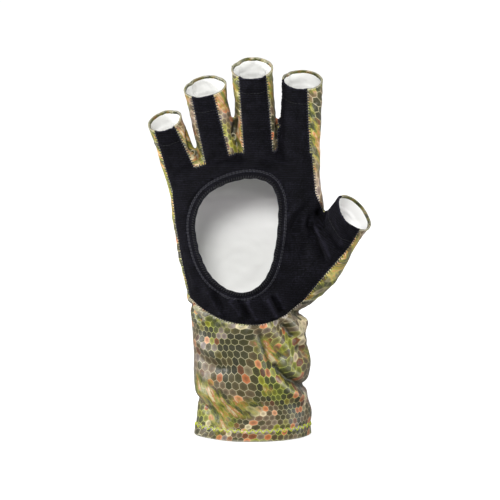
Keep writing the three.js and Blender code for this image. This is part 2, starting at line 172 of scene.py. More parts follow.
BODY = tuple(
    Level(*row)
    for row in (
        (0, -36.2, 36.2, -23, 23),
        (7, -35.5, 36.3, -22.8, 22.8),
        (15, -35.3, 36, -22.6, 22.6),
        (22, -36, 34, -22.4, 22.4),
        (30, -37, 33.8, -22.2, 22.2),
        (38, -37.2, 35.2, -22, 22),
        (45, -36.8, 35.6, -21.6, 21.6),
        (53, -37, 34, -21.2, 21.2),
        (60, -37.4, 32.6, -21, 21),
        (68, -38, 33.4, -20.8, 20.8),
        (76, -39.2, 31.5, -20.8, 20.6),
        (84, -40.4, 32, -21.4, 20.2),
        (92, -41.6, 34, -22.2, 19.8),
        (100, -43.8, 36.6, -22.8, 19.2),
        (108, -45.6, 39, -23, 18.6),
        (116, -47.2, 41, -22.8, 18.1),
        (124, -48.4, 42.4, -22.2, 17.6),
        (132, -49.4, 43.4, -21.2, 17.2),
        (140, -50.4, 44.6, -20, 16.8),
        (148, -51.4, 43.6, -18.4, 15.8),
        (156, -52.4, 41.6, -16.6, 14.4),
        (163, -52.4, 41, -14.4, 12.6),
        (169, -49, 39, -11.6, 10.6),
        (173, -41, 36, -8, 8),
    )
)
THUMB = tuple(
    Section(*row)
    for row in (
        (17, -1, 87, 15, 15),
        (28.4, -2, 98.8, 18.6, 16.8),
        (40.4, -4.5, 112, 18.1, 15.8),
        (50.6, -8, 126.2, 15, 13.4),
        (57.8, -10.5, 135.2, 13.5, 12),
        (62.3, -12, 139.8, 13.2, 11.2),
    )
)
OPENING_MIDDLE = (-10.0, 126.6)
OPENING_HALF = (25.4, 34.6)
OPENING_EDGE = (
    (0.3, 1), (0.75, 0.93), (0.95, 0.71), (1, 0.42), (0.95, -0.08), (0.82, -0.54), (0.63, -0.81),
    (0.37, -0.96), (0.03, -1), (-0.37, -0.88), (-0.72, -0.62), (-0.93, -0.24), (-1, 0.24), (-0.78, 0.65),
    (-0.32, 0.89),
)
WRIST_EDGE = (
    (-39, 86.4), (-30.4, 80.2), (-22.6, 75.8), (-13, 72.8), (0, 71.2), (8.7, 72.4), (17.4, 75.6),
    (23.4, 79.2),
    (31, 85.4),
)
PALM_EDGE = (
    (42.2, 99.6), (48, 106.6), (47, 135.5), (44, 138.5), (38.4, 151), (36, 176), (14.8, 177.5), (-10.8, 176),
    (-33.7, 168), (-49, 162), (-49.6, 150), (-47.4, 130), (-44, 110),
)
THUMB_EDGE = (
    (20, 78), (31, 85.4), (42.2, 99.6), (50.6, 109.4), (58.6, 118.8), (65.6, 131), (74, 146), (60, 162),
    (51.5, 151.5), (43.4, 138.4), (14, 120),
)
STRIPS = (
    Strip("little", -0.8, 0.8, -0.7, 0.46),
    Strip("ring", -0.72, 0.68, -0.7, 0.34),
    Strip("middle", -0.66, 0.76, -0.68, 0.66),
    Strip("index", -1.0, 0.68, -1.14, 0.2),
)
STRIP_BEND = 0.6
STRIP_RUN_ON = 1.2
WEBS = (
    Web("fourchette_little_ring", "little", "ring", 164),
    Web("fourchette_ring_middle", "ring", "middle", 171),
    Web("fourchette_middle_index", "middle", "index", 171),
)
WEB_SIDE = 0.1
WEB_DEEP = 7.5
WEB_TOP = 1.4
WRAP_GAP = 30.0

FOLD_ROWS = (
    (PALM, -1.8, 1.1, ((-41.5, 192), (-39.2, 183), (-37.6, 177))),
    (PALM, -1.9, 1.1, ((-10.9, 199), (-11.2, 193), (-12.2, 185.5))),
    (PALM, -1.9, 1.1, ((15.2, 196), (15.6, 191), (15.4, 183.5))),
    (PALM, 2.63, 2.6, ((-29.5, 95), (-25, 88), (-20.5, 80), (-19.5, 75))),
    (PALM, -1.58, 1.9, ((-25, 93), (-21.5, 86), (-17.5, 78))),
    (PALM, 2.81, 2.6, ((-19, 93), (-14, 86), (-9, 79), (-6.5, 74))),
    (PALM, -1.76, 2.0, ((-10, 88), (-6, 82), (-2, 75))),
    (PALM, 2.63, 2.4, ((-4.5, 89), (-2, 83), (1.5, 76), (3.5, 72))),
    (PALM, 3.33, 2.3, ((7.5, 90), (10.5, 84), (13.5, 77), (15, 74))),
    (PALM, -2.28, 1.8, ((11, 90), (14, 83), (17, 77))),
    (PALM, 2.11, 2.2, ((12.6, 93), (16.5, 86), (20, 79))),
    (PALM, -2.98, 2.6, ((36, 148), (27.5, 138.5), (24, 131), (22, 120), (20, 110))),
    (PALM, 2.11, 2.6, ((33, 148), (22.5, 139), (19.5, 131), (17.8, 120))),
    (PALM, -2.81, 2.2, ((36, 141), (34.6, 132), (39.5, 123), (45, 108))),
    (PALM, 2.63, 2.2, ((38.5, 138), (38.4, 131), (43, 122), (48.4, 110))),
    (PALM, 1.76, 2.4, ((31, 140), (30, 131), (34, 119), (37, 108))),
    (BOTH, -4.21, 2.4, ((41.5, 142), (41, 136), (42, 130))),
    (PALM, -2.11, 2.0, ((44, 136.6), (48, 125), (53, 115))),
    (PALM, 1.93, 2.0, ((49.5, 139), (53, 129), (54.8, 118))),
    (PALM, 1.4, 1.8, ((53, 143), (57.5, 133), (60, 125))),
    (PALM, -1.23, 2.4, ((-48, 120), (-41, 106), (-37, 93))),
    (PALM, 1.4, 2.6, ((-44, 112), (-38, 101), (-34, 90))),
    (PALM, 1.05, 2.6, ((-47, 158), (-34, 163), (-20, 165))),
    (PALM, -1.05, 2.2, ((-30, 168), (-16, 170), (0, 169))),
    (PALM, 1.05, 2.4, ((0, 174), (10, 171), (19, 171))),
    (PALM, -2.74, 2.4, ((17, 73), (21, 68), (25, 62))),
    (PALM, 2.55, 2.6, ((20, 76), (25, 70), (30, 63))),
    (BOTH, -3.92, 2.2, ((24, 78.5), (29, 76.5), (36, 75.5))),
    (PALM, 2.55, 3.0, ((9, 72), (15, 64), (20, 57), (25, 44))),
    (PALM, -2.74, 2.4, ((12.5, 48), (17, 41.5), (23, 34))),
    (PALM, 2.35, 2.8, ((16, 51), (22, 44), (30, 37))),
    (BOTH, -3.13, 2.4, ((22, 38), (28, 33), (36, 29))),
    (PALM, 2.35, 3.0, ((14, 39), (22, 30), (34, 22))),
    (PALM, -1.96, 2.6, ((27, 58), (31, 52), (36, 50))),
    (PALM, 2.35, 2.6, ((28, 63), (33, 58), (36, 58))),
    (PALM, -1.76, 3.2, ((2, 70), (6, 60), (9, 50), (10, 38))),
    (BOTH, -3.13, 1.9, ((-41, 83), (-37, 79), (-31, 73))),
    (PALM, 2.35, 2.2, ((-37, 83), (-33, 78), (-28, 72))),
    (PALM, 1.57, 3.4, ((-38, 62), (-29, 56), (-20, 50))),
    (PALM, -1.36, 3.4, ((-36, 52), (-27, 47), (-16, 42))),
    (PALM, 1.57, 3.6, ((-37, 30), (-27, 26), (-18, 20))),
    (BOTH, -1.96, 2.6, ((-40, 25), (-34, 21), (-27, 17))),
    (BACK, 1.3, 3.0, ((-30, 90), (-18, 82), (-6, 78))),
    (BACK, -1.17, 2.6, ((-26, 84), (-12, 76), (4, 73))),
    (BACK, 1.43, 3.2, ((30, 96), (18, 86), (6, 80))),
    (BACK, 1.17, 3.0, ((-36, 60), (-20, 52), (-4, 50))),
    (BACK, -1.17, 3.0, ((34, 64), (20, 56), (8, 52))),
    (BACK, 1.3, 3.2, ((36, 44), (22, 34), (6, 30))),
    (BACK, 1.17, 3.4, ((-34, 28), (-20, 22), (-6, 22))),
    (BACK, 1.04, 3.0, ((44, 134), (34, 122), (30, 108))),
    (BACK, -1.3, 2.6, ((46, 126), (38, 114), (34, 102))),
    (BACK, 0.91, 3.0, ((-42, 150), (-26, 146), (-8, 148))),
    (BACK, -0.78, 2.6, ((-2, 150), (14, 146), (30, 150))),
)
FOLDS = tuple(Fold(*row) for row in FOLD_ROWS)
LUMPS = (
    Lump(34, -4, 71, 4.0, 2.2),
    Lump(36, -2, 52, 7.0, 1.0),
    Lump(36, -2, 16, 8.0, 0.9),
    Lump(33, -4, 28, 4.0, -1.0),
    Lump(-39, -2, 84, 3.0, 0.9),
    Lump(50, -10, 96, 3.4, 1.2),
    Lump(47, -6, 142, 3.0, -0.8),
    Lump(53, -10, 148, 2.4, 1.0),
)
CUFF_WAVES = (Wave(1.0, (19.0, 19.0, 13.0), 3.1), Wave(0.4, (8.0, 8.0, 6.5), 11.7))
HAND_WAVES = (Wave(0.5, (15.0, 15.0, 12.0), 21.3), Wave(0.22, (6.0, 6.0, 4.5), 33.9))
FINGER_WAVES = (Wave(0.35, (14.0, 14.0, 4.6), 41.2),)
SEAM_WAVE = Wave(0.3, (3.6, 3.6, 3.6), 57.0)
BINDING_WAVE = Wave(0.35, (5.0, 5.0, 5.0), 71.0)
HEM_WAVE = Wave(0.25, (4.5, 4.5, 9.0), 83.0)

WOODLAND: Stops = (
    (0.3, (0.012, 0.014, 0.002)), (0.41, (0.046, 0.046, 0.007)), (0.48, (0.11, 0.078, 0.03)),
    (0.56, (0.2, 0.14, 0.1)), (0.68, (0.32, 0.25, 0.21)),
)
LIMES: Stops = ((0.3, (0.035, 0.05, 0.004)), (0.5, (0.125, 0.155, 0.006)), (0.72, (0.4, 0.41, 0.01)))
RUSTS: Stops = (
    (0.0, (0.09, 0.03, 0.015)), (0.4, (0.22, 0.06, 0.016)), (0.7, (0.75, 0.24, 0.09)),
    (1.0, (0.86, 0.42, 0.26)),
)
STROKES: Stops = (
    (0.34, (0.01, 0.016, 0.004)), (0.42, (0.03, 0.042, 0.01)), (0.47, (0.13, 0.15, 0.012)),
    (0.53, (0.3, 0.3, 0.035)), (0.575, (0.5, 0.16, 0.06)), (0.63, (0.62, 0.58, 0.4)),
)
# Painted glow of the lining, by share of its height, in place of light that comes through the cloth.
PAINTED_LINING_GLOW: Stops = (
    (0.0, (0.0, 0.0, 0.0)), (0.55, (0.1, 0.1, 0.1)), (0.68, (0.08, 0.08, 0.08)), (0.78, (0.04, 0.04, 0.04)),
    (0.9, (0.06, 0.057, 0.062)), (0.97, (0.09, 0.083, 0.09)), (1.0, (0.03, 0.03, 0.03)),
)


def smoothstep(low: float, high: float, value: np.ndarray) -> np.ndarray:
    """A soft step from 0 at low to 1 at high."""
    share = np.clip((value - low) / (high - low), 0.0, 1.0)
    return share * share * (3.0 - 2.0 * share)


def bell(away: np.ndarray, width: float) -> np.ndarray:
    """A soft hump, one where away is nothing and gone some widths off."""
    return np.exp(-((away / width) ** 2))


def unit(rows: np.ndarray) -> np.ndarray:
    """Each row as a direction of length one."""
    return rows / np.maximum(np.linalg.norm(rows, axis=-1, keepdims=True), 1e-9)


def from_front(angle: np.ndarray) -> np.ndarray:
    """The same angles counted from the palm side, so that their jump lies there."""
    return np.where(angle < -math.pi / 2.0, angle + 2.0 * math.pi, angle)


def between(rows: np.ndarray, edges: np.ndarray, share: np.ndarray) -> np.ndarray:
    """The rows' values at a share of the way along each edge."""
    return rows[edges[:, 0]] * (1.0 - share)[:, None] + rows[edges[:, 1]] * share[:, None]


def curve_through(rows: Sequence[Sequence[float]], closed: bool, steps: int = 8) -> np.ndarray:
    """A smooth line through places.

    Args:
        rows: The places in order.
        closed: Whether the line comes back to its start.
        steps: How many points each span gets.

    Returns:
        The points of the line.
    """
    given = np.asarray(rows, float)
    count = len(given)
    made = []
    for i in range(count if closed else count - 1):
        a, b, c, d = (
            given[(i + k) % count] if closed else given[min(max(i + k, 0), count - 1)] for k in (-1, 0, 1, 2)
        )
        for t in np.linspace(0.0, 1.0, steps, endpoint=False):
            made.append(
                0.5
                * (2 * b + (c - a) * t + (2 * a - 5 * b + 4 * c - d) * t * t + (3 * b - a - 3 * c + d) * t**3)
            )
    if not closed:
        made.append(given[-1])
    return np.array(made)


def outline_distance(x: np.ndarray, z: np.ndarray, rows: np.ndarray) -> np.ndarray:
    """Distance from a closed outline, below nothing inside it.

    Args:
        x: Places across.
        z: Places up.
        rows: The outline's corners.

    Returns:
        One distance for each place.
    """
    corners = np.asarray(rows, float)
    best = np.full(x.shape, 1e9)
    inside = np.zeros(x.shape, bool)
    for (x0, z0), (x1, z1) in zip(corners, np.roll(corners, -1, axis=0)):
        run, rise = x1 - x0, z1 - z0
        share = np.clip(((x - x0) * run + (z - z0) * rise) / max(run * run + rise * rise, 1e-9), 0.0, 1.0)
        best = np.minimum(best, (x - x0 - share * run) ** 2 + (z - z0 - share * rise) ** 2)
        if abs(rise) > 1e-9:
            inside ^= ((z0 > z) != (z1 > z)) & (x < x0 + run * (z - z0) / rise)
    away = np.sqrt(best)
    return np.where(inside, -away, away)


def course_distance(
    x: np.ndarray, z: np.ndarray, rows: Sequence[tuple[float, float]]
) -> tuple[np.ndarray, np.ndarray]:
    """Distance from a course, and how far along it the nearest place is, from 0 to 1."""
    corners = np.asarray(rows, float)
    lengths = np.linalg.norm(np.diff(corners, axis=0), axis=1)
    total = lengths.sum()
    best = np.full(x.shape, 1e9)
    along = np.zeros(x.shape)
    done = 0.0
    for (x0, z0), (x1, z1), length in zip(corners[:-1], corners[1:], lengths):
        share = np.clip(((x - x0) * (x1 - x0) + (z - z0) * (z1 - z0)) / length**2, 0.0, 1.0)
        away = np.hypot(x - x0 - share * (x1 - x0), z - z0 - share * (z1 - z0))
        nearer = away < best
        best = np.where(nearer, away, best)
        along = np.where(nearer, (done + share * length) / total, along)
        done += length
    return best, along


def lean(z: np.ndarray | float) -> np.ndarray | float:
    """How far the fingers lean to the palm side at a height."""
    return -LEAN_FORWARD * np.maximum((np.asarray(z, float) - LEAN_START) / LEAN_RISE, 0.0) ** LEAN_POWER


def side_seam(z: np.ndarray) -> np.ndarray:
    """Depth of the seam between the palm side and the back at a height."""
    rows = np.arange(LEAN_START, 256.0, 6.0)
    return np.interp(z, [0.0, 138.0, *rows], [-SIDE_SEAM_FORWARD, -SIDE_SEAM_FORWARD, *lean(rows)])


@dataclass(frozen=True)
class Finger:
    """One finger's tube: its axis, half widths and depths at root and opening, and the opening's slant."""

    name: str
    x0: float
    x1: float
    z1: float
    half0: float
    half1: float
    deep0: float
    deep1: float
    slant: float

    def axis_x(self, z: np.ndarray | float) -> np.ndarray | float:
        """Place of the axis across the hand at a height."""
        return self.x0 + (self.x1 - self.x0) * (z - FINGER_ROOT) / (self.z1 - FINGER_ROOT)

    def beside(self, share: float, side: float, slope: float = 1.0) -> tuple[float, float]:
        """A place some half widths to a side of the axis, as seen from the palm."""
        z = FINGER_ROOT + (self.z1 - FINGER_ROOT) * share
        return self.axis_x(z) + side * self.half(share) * slope, z

    def place(self, share: float) -> np.ndarray:
        """A point on the axis, 0 at the root and 1 at the opening."""
        z = FINGER_ROOT + (self.z1 - FINGER_ROOT) * share
        return np.array([self.axis_x(z), float(lean(z)), z])

    def half(self, share: float) -> float:
        """Half width of the tube at a share of its length."""
        return self.half0 + (self.half1 - self.half0) * min(share, 1.0)

    def rings(self, steps: int, sides: int) -> np.ndarray:
        """The tube's sections, run on past the opening.

        Args:
            steps: How many spans the tube has.
            sides: How many points a section has.

        Returns:
            Points by section and side.
        """
        shares = np.linspace(0.0, 1.0, steps + 1)
        axis = [self.place(share) for share in shares]
        sizes = [(self.half(s), self.deep0 + (self.deep1 - self.deep0) * s**TAPER_POWER) for s in shares]
        axis.append(axis[-1] + self.along() * RUN_ON)
        sizes.append(sizes[-1])
        return ovals(np.array(axis), sizes, sides)

    def along(self) -> np.ndarray:
        """Direction of the axis at the opening."""
        return unit(self.place(1.0) - self.place(1.0 - 1.0 / FINGER_SHARES))

    def opening(self) -> tuple[np.ndarray, np.ndarray]:
        """Middle of the opening and the direction it faces."""
        slant = math.radians(self.slant)
        palmward = np.array([0.0, -1.0, 0.0])
        return self.place(1.0), unit(self.along() * math.cos(slant) + palmward * math.sin(slant))


FINGERS = {
    f.name: f
    for f in (
        Finger("little", -37, -54.4, 196, 12.8, 10.4, 12.4, 9.4, 23),
        Finger("ring", -15.8, -29.6, 217, 11.6, 12.7, 13.4, 10.4, 21),
        Finger("middle", 5, -0.6, 228.5, 12.8, 12.4, 14, 10.8, 21),
        Finger("index", 27.4, 30.1, 221.3, 13.4, 12.4, 13.6, 10.6, 17),
    )
}


def ovals(axis: np.ndarray, sizes: Sequence[tuple[float, float]], sides: int) -> np.ndarray:
    """Oval sections across an axis.

    Args:
        axis: The middles of the sections.
        sizes: Half width and half depth of each.
        sides: How many points a section has.

    Returns:
        Points by section and side.
    """
    turns = 2.0 * math.pi * np.arange(sides) / sides
    made = []
    for i, middle in enumerate(axis):
        along = unit(axis[min(i + 1, len(axis) - 1)] - axis[max(i - 1, 0)])
        across = unit(np.cross([0.0, 1.0, 0.0], along))
        deep = unit(np.cross(along, across))
        half, depth = sizes[i]
        made.append(middle + np.outer(np.cos(turns) * half, across) + np.outer(np.sin(turns) * depth, deep))
    return np.array(made)


def thumb_line(steps: int) -> np.ndarray:
    """The thumb's sections, smoothed: rows of x, y, z, half width and half depth."""
    return curve_through(THUMB, closed=False, steps=steps)


def thumb_opening() -> tuple[np.ndarray, np.ndarray]:
    """Middle of the thumb's opening and the direction it faces."""
    line = thumb_line(6)
    along = unit(line[-1, :3] - line[-5, :3])
    slant = math.radians(THUMB_SLANT)
    return line[-1, :3], unit(along * math.cos(slant) + np.array([0.0, -1.0, 0.0]) * math.sin(slant))


def deselect() -> None:
    """Leaves nothing selected and no object in edit mode."""
    if bpy.context.object is not None and bpy.context.object.mode != "OBJECT":
        bpy.ops.object.mode_set(mode="OBJECT")
    bpy.ops.object.select_all(action="DESELECT")


def work_on(*chosen: bpy.types.Object) -> None:
    """Selects objects alone and makes the first of them the active one."""
    deselect()
    for one in chosen:
        one.select_set(True)
    bpy.context.view_layer.objects.active = chosen[0]


def select_end(made: bpy.types.Object, axis: int, far: float) -> None:
    """Selects the faces past far along an axis, or past it the other way where far is below nothing."""
    bpy.ops.mesh.select_mode(type="FACE")
    bpy.ops.mesh.select_all(action="DESELECT")
    editing = bmesh.from_edit_mesh(made.data)
    for face in editing.faces:
        face.select_set(face.calc_center_median()[axis] * math.copysign(1.0, far) > abs(far))
    bmesh.update_edit_mesh(made.data)


def read(items: bpy.types.bpy_prop_collection, key: str, width: int = 3, kind: type = float) -> np.ndarray:
    """A row of values for each item of a mesh."""
    made = np.zeros(len(items) * width, kind)
    items.foreach_get(key, made)
    return made.reshape(-1, width)


def take_apart(made: bpy.types.Object) -> tuple[np.ndarray, np.ndarray]:
    """Points and triangles of an object, which is removed."""
    made.data.calc_loop_triangles()
    points = read(made.data.vertices, "co")
    faces = read(made.data.loop_triangles, "vertices", 3, np.int64)
    bpy.data.objects.remove(made)
    return points, faces


def link(name: str, data: bpy.types.ID) -> bpy.types.Object:
    """A new object in the scene."""
    made = bpy.data.objects.new(name, data)
    bpy.context.scene.collection.objects.link(made)
    return made


def put_together(name: str, points: np.ndarray, faces: np.ndarray) -> bpy.types.Object:
    """A new object from points in millimetres and triangles."""
    mesh = bpy.data.meshes.new(name)
    mesh.from_pydata((points * MM).tolist(), [], faces.tolist())
    return link(name, mesh)


def fit_out(made: bpy.types.Object, node: str | None = None) -> None:
    """Shades a piece smoothly, hangs it on the glove, and hides the imported part that it stands for, if one
    is named.
    """
    mesh = made.data
    mesh.polygons.foreach_set("use_smooth", np.ones(len(mesh.polygons), bool))
    mesh.update()
    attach(made, "root")
    if node is not None:
        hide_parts(node)


def raise_tube(name: str, rings: np.ndarray) -> bpy.types.Object:
    """Raises a cylinder section by section and lays its corners on the rings.

    Args:
        name: The object's name.
        rings: Points by section and side, in millimetres.

    Returns:
        The closed tube.
    """
    count, sides, _ = rings.shape
    deselect()
    bpy.ops.mesh.primitive_cylinder_add(vertices=sides, radius=1.0, depth=1.0, location=(0.0, 0.0, 0.5))
    made = bpy.context.active_object
    made.name = name
    bpy.ops.object.transform_apply(location=True, rotation=True, scale=True)
    bpy.ops.object.mode_set(mode="EDIT")
    select_end(made, 2, 0.99)
    for _ in range(count - 2):
        bpy.ops.mesh.extrude_region_move(TRANSFORM_OT_translate={"value": (0.0, 0.0, 1.0)})
    bpy.ops.object.mode_set(mode="OBJECT")
    x, y, z = read(made.data.vertices, "co").T
    level = np.rint(z).astype(int)
    side = np.rint(np.arctan2(y, x) * sides / (2.0 * math.pi)).astype(int) % sides
    made.data.vertices.foreach_set("co", (rings[level, side] * MM).ravel())
    made.data.update()
    return made


@dataclass
class Line:
    """A line on the cloth: its points, the cloth's normals there, and whether it closes."""

    points: np.ndarray
    normals: np.ndarray
    closed: bool

    def spaced(self, pitch: float) -> "Line":
        """The same line with its points a pitch apart."""
        points = np.vstack([self.points, self.points[:1]]) if self.closed else self.points
        normals = np.vstack([self.normals, self.normals[:1]]) if self.closed else self.normals
        run = np.concatenate([[0.0], np.cumsum(np.linalg.norm(np.diff(points, axis=0), axis=1))])
        count = max(2, int(round(run[-1] / pitch)))
        at = np.linspace(0.0, run[-1], count + (0 if self.closed else 1), endpoint=not self.closed)
        column = [np.interp(at, run, points[:, k]) for k in range(3)]
        facing = [np.interp(at, run, normals[:, k]) for k in range(3)]
        return Line(np.array(column).T, unit(np.array(facing).T), self.closed)

    def length(self) -> float:
        """Length from end to end."""
        return float(np.linalg.norm(np.diff(self.points, axis=0), axis=1).sum())


@dataclass
class Cloth:
    """A skin of triangles, in millimetres, that is pushed about and cut along lines."""

    points: np.ndarray
    faces: np.ndarray

    def normals(self) -> np.ndarray:
        """The outward direction at each point."""
        a, b, c = (self.points[self.faces[:, k]] for k in range(3))
        flat = np.cross(b - a, c - a)
        summed = np.zeros_like(self.points)
        for k in range(3):
            np.add.at(summed, self.faces[:, k], flat)
        return unit(summed)

    def middles(self) -> np.ndarray:
        """The middle of each triangle."""
        return self.points[self.faces].mean(axis=1)

    def smooth(self, rounds: int, factor: float) -> None:
        """Draws every point towards the mean of its neighbours."""
        edges = np.vstack([self.faces[:, [0, 1]], self.faces[:, [1, 2]], self.faces[:, [2, 0]]])
        edges = np.vstack([edges, edges[:, ::-1]])
        count = np.bincount(edges[:, 0], minlength=len(self.points))[:, None]
        for _ in range(rounds):
            summed = np.zeros_like(self.points)
            np.add.at(summed, edges[:, 0], self.points[edges[:, 1]])
            self.points += factor * (summed / np.maximum(count, 1) - self.points)

    def crossings(self, value: np.ndarray) -> tuple[np.ndarray, ...]:
        """Where value passes nothing.

        Args:
            value: One value for each point.

        Returns:
            The crossed triangles turned so that the lone corner comes first, the crossed edges,
            the index of each
            triangle's two edges, and the share along each edge.
        """
        above = value > 0.0
        signs = above[self.faces]
        crossed = np.flatnonzero((signs.sum(axis=1) == 1) | (signs.sum(axis=1) == 2))
        signs = signs[crossed]
        lone = np.where(signs.sum(axis=1) == 1, signs.argmax(axis=1), signs.argmin(axis=1))
        turned = np.array([self.faces[crossed, (lone + k) % 3] for k in range(3)]).T
        pairs = np.sort(np.vstack([turned[:, [0, 1]], turned[:, [0, 2]]]), axis=1)
        edges, index = np.unique(pairs, axis=0, return_inverse=True)
        index = index.ravel().reshape(2, -1).T
        share = value[edges[:, 0]] / (value[edges[:, 0]] - value[edges[:, 1]])
        return crossed, turned, edges, index, share

    def split(self, value: np.ndarray) -> None:
        """Cuts the triangles along the line where value is nothing, and keeps both sides."""
        crossed, turned, edges, index, share = self.crossings(value)
        if not len(crossed):
            return
        new = len(self.points) + index
        kept = np.delete(self.faces, crossed, axis=0)
        tips = np.array([turned[:, 0], new[:, 0], new[:, 1]]).T
        first = np.array([new[:, 0], turned[:, 1], turned[:, 2]]).T
        second = np.array([new[:, 0], turned[:, 2], new[:, 1]]).T
        self.points = np.vstack([self.points, between(self.points, edges, share)])
        self.faces = np.vstack([kept, tips, first, second])

    def contour(self, value: np.ndarray) -> list[Line]:
        """The lines along which value is nothing."""
        _, _, edges, index, share = self.crossings(value)
        if not len(edges):
            return []
        points = between(self.points, edges, share)
        normals = unit(between(self.normals(), edges, share))
        joined: dict[int, list[int]] = {}
        for a, b in index.tolist():
            joined.setdefault(a, []).append(b)
            joined.setdefault(b, []).append(a)
        lines = []
        unseen = set(joined)
        starts = [k for k, v in joined.items() if len(v) == 1] + list(joined)
        for start in starts:
            if start not in unseen:
                continue
            chain = [start]
            unseen.discard(start)
            while True:
                onward = [k for k in joined[chain[-1]] if k in unseen]
                if not onward:
                    break
                chain.append(onward[0])
                unseen.discard(onward[0])
            if len(chain) > 4:
                closed = len(joined[start]) == 2 and chain[-1] in joined[start]
                lines.append(Line(points[chain], normals[chain], closed))
        return lines

    def tree(self) -> BVHTree:
        """A tree for finding the nearest place on the cloth."""
        return BVHTree.FromPolygons(self.points.tolist(), self.faces.tolist())


class Fields:
    """The lines that part the panels, as distances over the cloth that are nothing on the line."""

    def __init__(self) -> None:
        """Draws the outlines once."""
        self.turns = np.linspace(-math.pi, math.pi, 721)
        rim = np.array([np.cos(self.turns) * ROUND_HALF[0], np.sin(self.turns) * ROUND_HALF[1]]).T
        self.run = np.concatenate([[0.0], np.cumsum(np.linalg.norm(np.diff(rim, axis=0), axis=1))])
        self.round = float(self.run[-1])
        edge = curve_through(OPENING_EDGE, closed=True)
        self.egg = np.array(OPENING_MIDDLE) + edge * np.array(OPENING_HALF)
        self.wrist = curve_through(WRIST_EDGE, closed=False)
        self.palm = np.vstack([self.wrist, PALM_EDGE])
        side = curve_through(THUMB_EDGE[1:7], closed=False)
        self.thumb = np.vstack([THUMB_EDGE[0], side, *THUMB_EDGE[7:]])
        self.strips = [self.strip_outline(strip) for strip in STRIPS]
        self.openings = {name: finger.opening() for name, finger in FINGERS.items()}
        self.openings["thumb"] = thumb_opening()

    @staticmethod
    def strip_outline(strip: Strip) -> np.ndarray:
        """Outline of the black strip up a finger."""
        finger = FINGERS[strip.finger]
        rise = finger.z1 - FINGER_ROOT
        slope = math.hypot(finger.x1 - finger.x0, rise) / rise
        bent = strip.right_base + (strip.right_tip - strip.right_base) * STRIP_BEND
        corners = (
            (0, strip.left_base), (0, strip.right_base), (STRIP_BEND, bent), (1, strip.right_tip),
            (STRIP_RUN_ON, strip.right_tip), (STRIP_RUN_ON, strip.left_tip), (1, strip.left_tip),
        )
        return np.array([finger.beside(share, side, slope) for share, side in corners])

    def palm_line(self, p: np.ndarray) -> np.ndarray:
        """Distance from the edge of the black palm."""
        x, y, z = p.T
        flat = outline_distance(x, z, self.palm)
        for strip in self.strips:
            flat = np.minimum(flat, outline_distance(x, z, strip))
        depth = np.interp(x, [row.x for row in THUMB], [row.y for row in THUMB])
        thumb = np.maximum(outline_distance(x, z, self.thumb), y - depth)
        return np.minimum(np.maximum(flat, y - side_seam(z)), thumb)

    def edge_line(self, p: np.ndarray) -> np.ndarray:
        """Height over the cuff's lower edge, which dips a little at the front and the back."""
        return p[:, 2] + EDGE_DIP * np.clip(1.0 - (p[:, 0] / BODY[0].right) ** 2, 0.0, 1.0)

    def cuff_line(self, p: np.ndarray) -> np.ndarray:
        """Distance from the seam between cuff and hand, below nothing on the cuff."""
        x, y, z = p.T
        front = np.interp(x, self.wrist[:, 0], self.wrist[:, 1])
        share = smoothstep(-7.0, -1.0, y)
        return z - (front * (1.0 - share) + WRIST_SEAM_HEIGHT * share)

    def egg_line(self, p: np.ndarray) -> np.ndarray:
        """Distance from the edge of the palm opening, on the palm side alone."""
        away = outline_distance(p[:, 0], p[:, 2], self.egg)
        return np.where(p[:, 1] < 0.0, away, FAR)

    def web_line(self, p: np.ndarray, web: Web) -> np.ndarray:
        """Distance from the edge of the strip between two fingers."""
        left, right = FINGERS[web.left], FINGERS[web.right]
        feet = [(web.foot - FINGER_ROOT) / (finger.z1 - FINGER_ROOT) for finger in (left, right)]
        rows = [
            left.beside(feet[0], WEB_SIDE), right.beside(feet[1], -WEB_SIDE),
            right.beside(WEB_TOP, -WEB_SIDE), left.beside(WEB_TOP, WEB_SIDE),
        ]
        flat = outline_distance(p[:, 0], p[:, 2], np.array(rows))
        return np.maximum(flat, p[:, 1] - side_seam(p[:, 2]) - WEB_DEEP)

    def nearest_finger(self, p: np.ndarray) -> np.ndarray:
        """Index of the finger that each point belongs to, with the thumb last and -1 for the hand."""
        x, _, z = p.T
        away = np.array([np.abs(x - finger.axis_x(z)) for finger in FINGERS.values()])
        which = np.where(z > FINGERS_ABOVE, away.argmin(axis=0), -1)
        return np.where((x > THUMB_RIGHT_OF) & (z < THUMB_BELOW), len(FINGERS), which)

    def opening_line(self, p: np.ndarray) -> np.ndarray:
        """Distance past the finger openings, below nothing on the glove."""
        which = self.nearest_finger(p)
        made = np.full(len(p), -FAR)
        for i, (middle, facing) in enumerate(self.openings.values()):
            made = np.where(which == i, (p - middle) @ facing, made)
        return made

    def around_body(self, p: np.ndarray) -> np.ndarray:
        """Angle round the hand or cuff, nothing at its right side."""
        x, y, z = p.T
        levels = np.array(BODY)
        left, right, front, back = (np.interp(z, levels[:, 0], levels[:, k]) for k in (1, 2, 3, 4))
        across = (x - (left + right) / 2.0) / ((right - left) / 2.0)
        deep = (y - (front + back) / 2.0) / ((back - front) / 2.0)
        power = 1 / SQUARENESS
        return np.arctan2(np.sign(deep) * np.abs(deep) ** power, np.sign(across) * np.abs(across) ** power)

